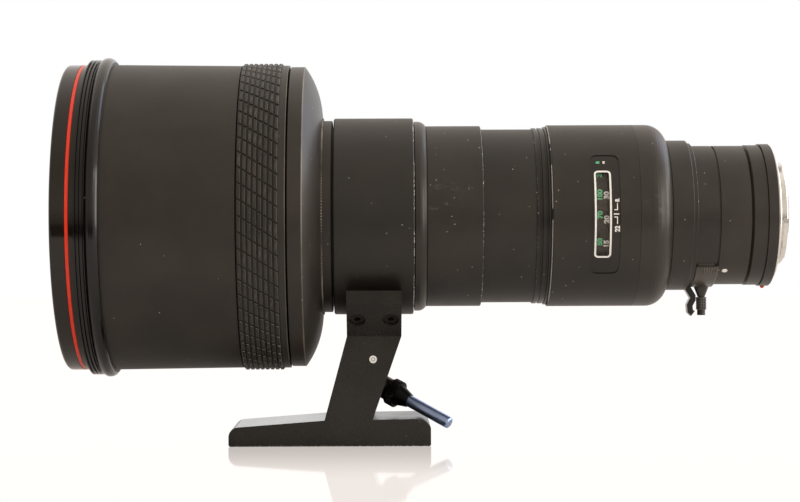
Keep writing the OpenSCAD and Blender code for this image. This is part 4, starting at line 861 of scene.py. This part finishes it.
class LENS_OT_focus_grip(Operator):
    """Moulds the rubber focus grip, with its leaning rows of blocks"""
    bl_idname = "lens.focus_grip"
    bl_label = "Focus grip"

    def execute(self, context):
        grip = context.scene.lens_grip
        low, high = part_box("focus_grip")
        crest = high.y
        sleeve = crest - grip.depth
        bore = sleeve - 1.1 * MM
        pitch = (high.x - low.x) / grip.columns
        row_pitch = 2 * math.pi * crest / grip.rows
        slope = grip.lean / pitch
        lip, side_steps = 0.15 * MM, 3

        def block_loop(row, x0, x1, level, inset):
            """The outline of a block at a level, drawn in by an inset."""
            loop = []
            length = row_pitch - grip.row_groove - 2 * inset
            for x, steps in (
                (x0 + inset, range(side_steps + 1)),
                (x1 - inset, range(side_steps, -1, -1)),
            ):
                start = row * row_pitch + slope * (x - low.x) + grip.row_groove / 2 + inset
                loop += [
                    on_lens(level, NEAR + (start + length * step / side_steps) / crest, x)
                    for step in steps
                ]
            return loop

        parts = [turned([
            (low.x, bore), (high.x, bore), (high.x, sleeve - lip), (high.x - lip, sleeve),
            (low.x + lip, sleeve), (low.x, sleeve - lip),
        ])]
        levels = (
            (sleeve - lip, 0.0), (crest - grip.chamfer, grip.chamfer / 4), (crest, grip.chamfer))
        for row in range(grip.rows):
            for column in range(grip.columns):
                x0 = low.x + column * pitch + grip.column_groove / 2
                x1 = low.x + (column + 1) * pitch - grip.column_groove / 2
                parts.append(stacked([
                    block_loop(row, x0, x1, level, inset) for level, inset in levels]))
        made = add_piece("grip_rubber", joined(parts), rubber_finish(), "focus",
                         sharp_angle=30)
        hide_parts("focus_grip")
        return {"FINISHED"}


class LENS_OT_front_line(Operator):
    """Fills the groove of the front ring with the coloured line"""
    bl_idname = "lens.front_line"
    bl_label = "Front line"

    def execute(self, context):
        marks, paint = context.scene.lens_marks, context.scene.lens_paint
        low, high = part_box("front_ring")
        gap, deep, sunk, round_edge = 0.02 * MM, 0.34 * MM, 0.05 * MM, 0.12 * MM
        x0 = low.x + marks.line_offset - marks.line_width / 2 + gap
        x1 = x0 + marks.line_width - 2 * gap
        floor, top = high.y - deep, high.y - sunk
        line = turned([
            (x0, floor), (x1, floor), (x1, top - round_edge), (x1 - round_edge, top),
            (x0 + round_edge, top), (x0, top - round_edge),
        ])
        add_piece(
            "front_line", line, ink_finish("Line enamel", paint.line, 0.3), "lens")
        return {"FINISHED"}


class LENS_OT_neck_teeth(Operator):
    """Cuts the fine toothed edge at the foot of the rear dome"""
    bl_idname = "lens.neck_teeth"
    bl_label = "Neck teeth"

    def execute(self, context):
        low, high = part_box("neck_ring")
        teeth, tooth_share, width, proud, bury = 210, 0.62, 0.6 * MM, 0.8 * MM, 0.1 * MM
        base = high.y - bury
        reach = tooth_share * math.pi / teeth
        parts = []
        for tooth in range(teeth):
            middle = 2 * math.pi * tooth / teeth
            parts.append(stacked([
                [
                    on_lens(level, middle + sign * reach * share, low.x + width * along)
                    for sign, along in ((-1, 0.02), (1, 0.02), (1, 0.98), (-1, 0.98))
                ]
                for level, share in ((base, 1.0), (base + proud * 0.7, 0.75), (base + proud, 0.35))
            ]))
        finish = moulded_finish("Toothed edge paint", ink(168, 160, 146), ink(84, 79, 72), 0.36)
        add_piece("neck_teeth", joined(parts), finish, "lens")
        return {"FINISHED"}


class LENS_OT_window_marks(Operator):
    """Prints the window's white line, the index, the depth marks and the unit signs"""
    bl_idname = "lens.window_marks"
    bl_label = "Window marks"

    def execute(self, context):
        marks, paint = context.scene.lens_marks, context.scene.lens_paint
        white = ink_finish("White print", paint.print_white, 0.5, 0.04)
        green = ink_finish("Green unit print", paint.print_green, 0.5, 0.04)
        glass_low, glass_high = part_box("window_glass")
        rise, overlap, end_gap, bury, proud = 0.02 * MM, 0.1 * MM, 0.4 * MM, 0.1 * MM, 0.05 * MM
        radius = -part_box("window_panel")[0].y + rise
        middle_x = (glass_low.x + glass_high.x) / 2
        width = glass_high.x - glass_low.x + overlap
        half = radius * math.asin((glass_high.z - AXIS_Z) / radius) - end_gap
        corner, stroke = 1.9 * MM, marks.frame_stroke

        def on_panel(level):
            return lambda p: on_lens(radius + level, NEAR + p[1] / radius, middle_x + p[0])

        window_line = banded(
            rounded_rectangle(width, 2 * half, corner),
            rounded_rectangle(width - 2 * stroke, 2 * half - 2 * stroke, corner - stroke),
            on_panel(-bury), on_panel(proud))
        add_piece("window_line", window_line, white, "lens")

        def turn_to(z):
            return NEAR - math.asin((z * MM - AXIS_Z) / radius)

        def printed(text, height, z, x):
            return printed_upward(text, height * MM, radius, turn_to(z), x, stretch=0.9)

        line, index_length, tick_length, stem_length = 0.42 * MM, 2.5 * MM, 1.5 * MM, 3.3 * MM
        index_x, tick_x, stem_x = 130.35 * MM, 130.1 * MM, 130.75 * MM
        marked = [printed_bar(radius, NEAR, index_x, index_length, line * 1.3)]
        for z in (108.05, 104.75):
            marked.append(printed_bar(radius, turn_to(z), tick_x, tick_length, line))
        for z in (109.5, 103.3):
            marked.append(printed_bar(radius, turn_to(z), stem_x, line, stem_length))
        marked += [
            printed("22", 2.1, 99.4, stem_x), printed("R", 1.8, 112.5, stem_x),
            printed("m", 1.3, 129.7, 125.3 * MM),
        ]
        add_piece("index_marks", joined(marked), white, "lens")
        add_piece(
            "unit_mark", printed("ft", 1.6, 129.7, 122.5 * MM), green, "lens")
        return {"FINISHED"}


class LENS_OT_distance_scale(Operator):
    """Prints the two distance scales on the drum behind the window"""
    bl_idname = "lens.distance_scale"
    bl_label = "Distance scale"

    def execute(self, context):
        marks, paint = context.scene.lens_marks, context.scene.lens_paint
        radius = outer_radius("scale_drum")
        foot = 0.3048
        far, travel = math.radians(44.4), math.radians(957)

        def printed(text, turn, x, stretch):
            return printed_upward(
                text, marks.digit_height, radius, NEAR - far + turn, x, stretch)

        for name, colour, x, unit, distances in (
            ("white", paint.print_white, 126.15 * MM, 1.0, (4, 5, 6, 8, 10, 15, 20, 30)),
            ("green", paint.print_green, 123.15 * MM, foot, (15, 20, 25, 30, 40, 50, 70, 100, 200)),
        ):
            parts = [
                printed(str(distance), travel / (distance * unit), x, 1.12)
                for distance in distances
            ]
            if name == "white":
                parts.append(printed("∞", 0.0, x, 0.9))
            finish = ink_finish("Scale print " + name, colour, 0.5, 0.05)
            add_piece("scale_" + name, joined(parts), finish, "helicoid")
        return {"FINISHED"}


class LENS_OT_mount_marks(Operator):
    """Adds the white alignment dot and the red bead at the rear"""
    bl_idname = "lens.mount_marks"
    bl_label = "Mount marks"

    def execute(self, context):
        marks, paint = context.scene.lens_marks, context.scene.lens_paint
        radius = outer_radius("rear_barrel")
        dot_x, dot_height, dot_bury = 182.7 * MM, 0.12 * MM, 0.03 * MM
        bead_x, bead_height, bead_bury = 203.5 * MM, 1.2 * MM, 0.1 * MM
        angle = NEAR + math.radians(53)
        out = on_lens(1.0, angle, 0.0) - on_lens(0.0, angle, 0.0)
        dot = smooth_dome(
            on_lens(radius - dot_bury, angle, dot_x), out, marks.dot_radius, dot_height)
        add_piece("alignment_dot", dot, ink_finish("Dot paint", paint.print_white, 0.4), "lens")
        foot = Vector((bead_x, 0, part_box("mount_ring")[0].z + bead_bury))
        bead = smooth_dome(foot, Vector((0, 0, -1)), marks.bead_radius, bead_height)
        add_piece("mount_bead", bead, ink_finish("Bead enamel", ink(206, 52, 34), 0.2), "lens")
        return {"FINISHED"}


class LENS_OT_contacts(Operator):
    """Sets the gilt contact pins in their block"""
    bl_idname = "lens.contacts"
    bl_label = "Contact pins"

    def execute(self, context):
        low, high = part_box("contact_block")
        pins, spread, radius, height = 8, math.radians(17), 0.62 * MM, 0.35 * MM
        outward, bury = 0.4 * MM, 0.3 * MM
        orbit = (abs(low.y) + math.hypot(high.y, high.z - AXIS_Z)) / 2 + outward
        parts = []
        for pin in range(pins):
            foot = on_lens(orbit, NEAR + spread * (2 * pin / (pins - 1) - 1), high.x - bury)
            parts.append(
                smooth_dome(foot, Vector((1, 0, 0)), radius, height, rings=5, steps=16))
        finish = metal_finish("Contact gilt", ink(232, 196, 112), ink(160, 124, 60), 0.2)
        add_piece("contact_pins", joined(parts), finish, "lens")
        return {"FINISHED"}


class LENS_OT_drawer_cap(Operator):
    """Fits the raised cap plate of the filter drawer, with its thumb ribs and the knob's rings"""
    bl_idname = "lens.drawer_cap"
    bl_label = "Drawer cap"

    def execute(self, context):
        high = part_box("filter_holder")[1]
        section_low, section_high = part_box("filter_section")
        side_gap, rise, end_gap = 0.2 * MM, 0.45 * MM, math.radians(0.8)
        plate, edge, steps = 0.8 * MM, 0.25 * MM, 32
        x0, x1 = section_low.x + side_gap, section_high.x - side_gap
        base = section_high.y + rise
        reach = math.asin(high.y / base) - end_gap
        loops = []
        for step in range(steps + 1):
            angle = reach * (2 * step / steps - 1)
            loops.append([
                on_lens(radius, angle, x) for x, radius in (
                    (x0, base), (x1, base), (x1, base + plate - edge), (x1 - edge, base + plate),
                    (x0 + edge, base + plate), (x0, base + plate - edge))
            ])
        finish = moulded_finish("Cap plastic", ink(64, 60, 54), ink(78, 74, 67), 0.3)
        add_piece("drawer_cap", stacked(loops), finish, "filter_drawer",
                  sharp_angle=20)
        self.ribs(x1, reach, base + plate)
        self.rings(*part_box("filter_knob"))
        return {"FINISHED"}

    def ribs(self, rear_x, reach, radius):
        """Thumb ribs at both ends of the plate, side by side along the axis."""
        count, pitch, width, length, proud = 6, 1.1 * MM, 0.6 * MM, math.radians(7), 0.4 * MM
        skin, margin, gap = 0.1 * MM, 0.7 * MM, math.radians(0.6)
        parts = []
        for side in (-1, 1):
            start = side * (reach - gap)
            for rib in range(count):
                x = rear_x - margin - rib * pitch
                parts.append(stacked([
                    [
                        on_lens(r, start - side * length * share, x + a)
                        for a, r in (
                            (-width / 2, radius - skin), (width / 2, radius - skin),
                            (width / 4, radius + level), (-width / 4, radius + level))
                    ]
                    for share, level in ((0.0, skin), (0.12, proud), (0.88, proud), (1.0, skin))
                ]))
        finish = moulded_finish("Rib plastic", ink(128, 123, 116), ink(104, 99, 92), 0.34)
        add_piece("drawer_ribs", joined(parts), finish, "filter_drawer",
                  sharp_angle=20)

    def rings(self, low, high):
        """Rings round the knob's shank."""
        radius = (high.x - low.x) / 2
        count, pitch, width, proud, bury = 5, 1.25 * MM, 0.6 * MM, 0.16 * MM, 0.3 * MM
        first = low.z + 2.9 * MM
        parts = []
        for ring in range(count):
            z = first + ring * pitch
            parts.append(turned([
                (z - width / 2, radius - bury), (z + width / 2, radius - bury),
                (z + width / 2, radius), (z + width / 4, radius + proud),
                (z - width / 4, radius + proud), (z - width / 2, radius),
            ], steps=32, spot=upright((low + high) / 2)))
        finish = moulded_finish("Ring plastic", ink(98, 92, 84), ink(80, 75, 69), 0.34)
        add_piece("knob_rings", joined(parts), finish, "filter_lock",
                  sharp_angle=20)


class LENS_OT_drawer_catch(Operator):
    """Folds the dark strap and its spring leaf beside the filter drawer's knob"""
    bl_idname = "lens.drawer_catch"
    bl_label = "Drawer catch"

    def execute(self, context):
        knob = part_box("filter_knob")[0]
        top = AXIS_Z - outer_radius("filter_section") - 0.5 * MM
        bends = [
            Vector((knob.x + x * MM, 0, z)) for x, z in (
                (-4.4, top), (-4.0, top - 1.4 * MM), (-1.75, knob.z + 8.8 * MM),
                (-1.75, knob.z + 7.6 * MM), (-3.3, knob.z + 4.6 * MM), (-3.0, knob.z + 1.9 * MM),
                (-1.7, knob.z + 0.9 * MM))
        ]
        strap = moulded_finish("Strap black", ink(14, 13, 12), ink(22, 21, 20), 0.45)
        leaf = metal_finish("Spring leaf steel", ink(190, 188, 184), ink(120, 118, 114), 0.3)
        self.ribbon("drawer_strap", bends, 0.0, 1.4 * MM, 2.1 * MM, strap, "black_plastic")
        self.ribbon("drawer_catch", bends, -1.5 * MM, 0.15 * MM, 2.3 * MM, leaf, "steel")
        return {"FINISHED"}

    def ribbon(self, name, bends, shift, half_thick, half_wide, finish, slot):
        """A strip along the bends, which may lie beside them by a shift."""
        ease = min(half_thick * 0.4, 0.35 * MM)
        loops = []
        for i, point in enumerate(bends):
            run = (bends[min(i + 1, len(bends) - 1)] - bends[max(i - 1, 0)]).normalized()
            up = Vector((0, 1, 0)).cross(run).normalized()
            if up.x < 0:
                up = -up
            middle = point + up * shift
            loops.append([
                middle + up * a + Vector((0, b, 0)) for a, b in (
                    (half_thick, ease - half_wide), (half_thick, half_wide - ease),
                    (half_thick - ease, half_wide), (ease - half_thick, half_wide),
                    (-half_thick, half_wide - ease), (-half_thick, ease - half_wide),
                    (ease - half_thick, -half_wide), (half_thick - ease, -half_wide))
            ])
        add_piece(name, stacked(loops), finish, "filter_drawer")


class LENS_OT_lock_knurl(Operator):
    """Rolls a diamond knurl round the head of the collar lock"""
    bl_idname = "lens.lock_knurl"
    bl_label = "Lock knurl"

    def execute(self, context):
        anchor, axis = joint_line("lock_turn")
        side = axis.orthogonal().normalized()
        other = axis.cross(side)
        points = [v.co - anchor for v in frame["nodes"]["lock_screw"].data.vertices]
        reach = [(point - axis * point.dot(axis)).length for point in points]
        head_r = max(reach)
        along = [
            point.dot(axis) for point, far in zip(points, reach) if far > head_r - 0.05 * MM]
        rim = 0.25 * MM
        start, end = min(along) + rim, max(along) - rim
        around, rows = 34, 8
        pitch, wide = (end - start) / rows, math.pi / around
        low_r, top_r, top_share = head_r - 0.5 * MM, head_r + 0.02 * MM, 0.28

        def spot(middle, turn, radius, share_along, share_round):
            angle = turn + share_round * wide
            return (anchor + axis * (middle + share_along * pitch)
                    + (side * math.cos(angle) + other * math.sin(angle)) * radius)

        parts = []
        for row in range(rows):
            long = 0.5 if row in (0, rows - 1) else 0.95
            corners = ((-long, 0), (0, 0.95), (long, 0), (0, -0.95))
            middle = start + (row + 0.5) * pitch
            for column in range(around):
                turn = 2 * math.pi * (column + 0.5 * (row % 2)) / around
                parts.append(stacked([
                    [spot(middle, turn, radius, a * share, b * share) for a, b in corners]
                    for radius, share in ((low_r, 1.0), (top_r, top_share))
                ]))
        finish = metal_finish("Knurl steel", ink(74, 72, 70), ink(16, 16, 16), 0.34)
        add_piece("lock_knurl", joined(parts), finish, "lock", sharp_angle=20)
        return {"FINISHED"}


class LENS_OT_socket_threads(Operator):
    """Cuts the threads in the two tripod sockets"""
    bl_idname = "lens.socket_threads"
    bl_label = "Socket threads"

    def execute(self, context):
        finish = metal_finish("Socket steel", ink(176, 174, 170), ink(104, 102, 98), 0.34)
        pitch, depth, wall, start, cut_share = 1.5 * MM, 0.55 * MM, 0.12 * MM, 0.6 * MM, 0.8
        for name in ("tripod_socket_large", "tripod_socket_small"):
            mount = mount_of(name)
            radius, length = (mount["dims"][size] * MM for size in ("r_mm", "length_mm"))
            turns = int(length * cut_share / pitch)
            outline = [(start, radius), (start + turns * pitch, radius)]
            for turn in range(turns, 0, -1):
                for back, cut in ((0.1, wall), (0.5, depth), (0.9, wall)):
                    outline.append((start + (turn - back) * pitch, radius - cut))
            thread = turned(outline, steps=64, spot=upright(Vector(mount["pos_m"])))
            add_piece(name.replace("tripod_socket", "socket_thread"), thread, finish, "stand",
                      sharp_angle=25)
        return {"FINISHED"}


class LENS_OT_stage(Operator):
    """Sets the table, the white surround, the lamps and the camera"""
    bl_idname = "lens.stage"
    bl_label = "Stage"

    def execute(self, context):
        scene = context.scene
        stage = scene.lens_stage
        front, back, side = -0.43, 3.2, 3.2
        mesh = bpy.data.meshes.new("table")
        mesh.from_pydata(
            [(-side, front, 0), (side, front, 0), (side, back, 0), (-side, back, 0)], [],
            [(0, 1, 2, 3)])
        mesh.materials.append(floor_finish(tuple(stage.table), stage.mirror, stage.blur))
        table = bpy.data.objects.new("table", mesh)
        scene.collection.objects.link(table)
        self.surround(scene)
        warm, cool = (1.0, 0.96, 0.9), (0.6, 0.7, 1.0)
        # Places and sizes in metres, power in watts, and whether gloss mirrors the lamp
        for name, place, target, size, power, colour, mirrored in (
            ("top_light", (0.05, -0.15, 1.35), (0.03, 0.0, 0.1), (1.3, 1.3), 4.5, warm, False),
            ("front_light", (0.3, -1.6, 0.9), (0.05, 0.0, 0.1), (1.2, 1.2), 5.7, warm, False),
            ("side_light", (1.5, 0.15, 0.14), (0.1, 0.0, 0.1), (1.1, 1.1), 14.0, warm, True),
            ("tall_light", (1.3, -0.97, 0.2), (0.15, 0.0, 0.1), (0.4, 1.5), 8.5, warm, True),
            ("window_light", (1.15, 0.7, 0.95), (0.05, 0.0, 0.12), (0.9, 0.9), 3.4, cool, True),
        ):
            self.lamp(scene, name, place, target, size, power, colour, mirrored)
        camera_data = bpy.data.cameras.new("camera")
        camera_data.lens = stage.focal_length
        camera_data.sensor_width = 36
        camera_data.shift_x = 0.03
        camera = bpy.data.objects.new("camera", camera_data)
        camera.location = (0.0216, -1.0, 0.0898)
        camera.rotation_euler = (math.radians(90), math.radians(0.22), 0)
        scene.collection.objects.link(camera)
        scene.camera = camera
        scene.view_settings.view_transform = "Standard"
        return {"FINISHED"}

    def surround(self, scene):
        """White to the camera. Behind the camera the room that metal and paint mirror is dim."""
        world = bpy.data.worlds.new("studio")
        scene.world = world
        world.use_nodes = True
        world.node_tree.nodes.clear()
        shade = Shade(world.node_tree)
        way = shade.node("TexCoord", output="Generated")
        back = way.part("Y").eased(-0.25, 0.45)
        height = way.part("Z")
        room = shade.node("ValToRGB", {"stops": [
            (0.0, ink(46, 41, 38)), (0.44, ink(46, 41, 38)), (0.455, ink(150, 136, 126)),
            (0.56, ink(204, 192, 177)), (0.8, ink(188, 175, 160)), (1.0, ink(224, 212, 198)),
        ]}, {"Fac": height * 0.5 + 0.5})
        side = way.part("X").eased(0.0, 0.5) * height.eased(-0.12, 0.05)
        room = (side * 0.9).mixed(room, (1.0, 0.92, 0.83, 1.0))
        white = (1.0, 1.0, 1.0, 1.0)
        wall = height.eased(0.2, 0.5).mixed(white, (1.0, 0.9, 0.82, 1.0))
        colour = back.mixed(room, wall)
        lit = shade.node("Background", sockets={"Color": colour, "Strength": 0.8})
        plain = shade.node("Background", sockets={"Color": white, "Strength": 1.0})
        mirrored = shade.node("Background", sockets={"Color": colour, "Strength": 1.0})
        camera = shade.node("LightPath", output="Is Camera Ray")
        glossy = shade.node("LightPath", output="Is Glossy Ray")
        clear = shade.node("LightPath", output="Is Transmission Ray")
        seen = shade.node("MixShader", sockets={0: glossy, 1: lit, 2: mirrored})
        seen = shade.node(
            "MixShader", sockets={0: shade.maths("MAXIMUM", camera, clear), 1: seen, 2: plain})
        shade.node("OutputWorld", sockets={"Surface": seen})

    def lamp(self, scene, name, place, target, size, power, colour, mirrored):
        """A soft lamp that faces a point, and shows in gloss where it is mirrored."""
        data = bpy.data.lights.new(name, "AREA")
        data.shape = "RECTANGLE"
        data.size, data.size_y = size
        data.energy = power
        data.color = colour
        made = bpy.data.objects.new(name, data)
        made.location = place
        made.rotation_euler = (Vector(target) - Vector(place)).to_track_quat("-Z", "Y").to_euler()
        made.visible_glossy = mirrored
        scene.collection.objects.link(made)


PIECES = (
    LENS_OT_barrels, LENS_OT_foot, LENS_OT_metalwork, LENS_OT_glass, LENS_OT_focus_grip,
    LENS_OT_front_line, LENS_OT_neck_teeth, LENS_OT_window_marks, LENS_OT_distance_scale,
    LENS_OT_mount_marks, LENS_OT_contacts, LENS_OT_drawer_cap, LENS_OT_drawer_catch,
    LENS_OT_lock_knurl, LENS_OT_socket_threads, LENS_OT_stage,
)
SETTINGS = {
    "lens_paint": LensPaint, "lens_grip": LensGrip, "lens_marks": LensMarks,
    "lens_stage": LensStage,
}


class LENS_PT_pieces(Panel):
    """Lists the lens's pieces and their sizes and colours"""
    bl_idname = "LENS_PT_pieces"
    bl_label = "Super telephoto lens"
    bl_space_type = "VIEW_3D"
    bl_region_type = "UI"
    bl_category = "Lens"

    def draw(self, context):
        column = self.layout.column(align=True)
        for piece in PIECES:
            column.operator(piece.bl_idname)
        for name, group in SETTINGS.items():
            box = self.layout.box()
            for setting in group.__annotations__:
                box.prop(getattr(context.scene, name), setting)


def register():
    for group in SETTINGS.values():
        bpy.utils.register_class(group)
    for piece in PIECES:
        bpy.utils.register_class(piece)
    bpy.utils.register_class(LENS_PT_pieces)
    for name, group in SETTINGS.items():
        setattr(bpy.types.Scene, name, PointerProperty(type=group))


def unregister():
    for name in SETTINGS:
        delattr(bpy.types.Scene, name)
    bpy.utils.unregister_class(LENS_PT_pieces)
    for piece in reversed(PIECES):
        bpy.utils.unregister_class(piece)
    for group in reversed(list(SETTINGS.values())):
        bpy.utils.unregister_class(group)


def main():
    register()
    for piece in PIECES:
        section, name = piece.bl_idname.split(".")
        getattr(getattr(bpy.ops, section), name)()


if __name__ == "__main__":
    main()
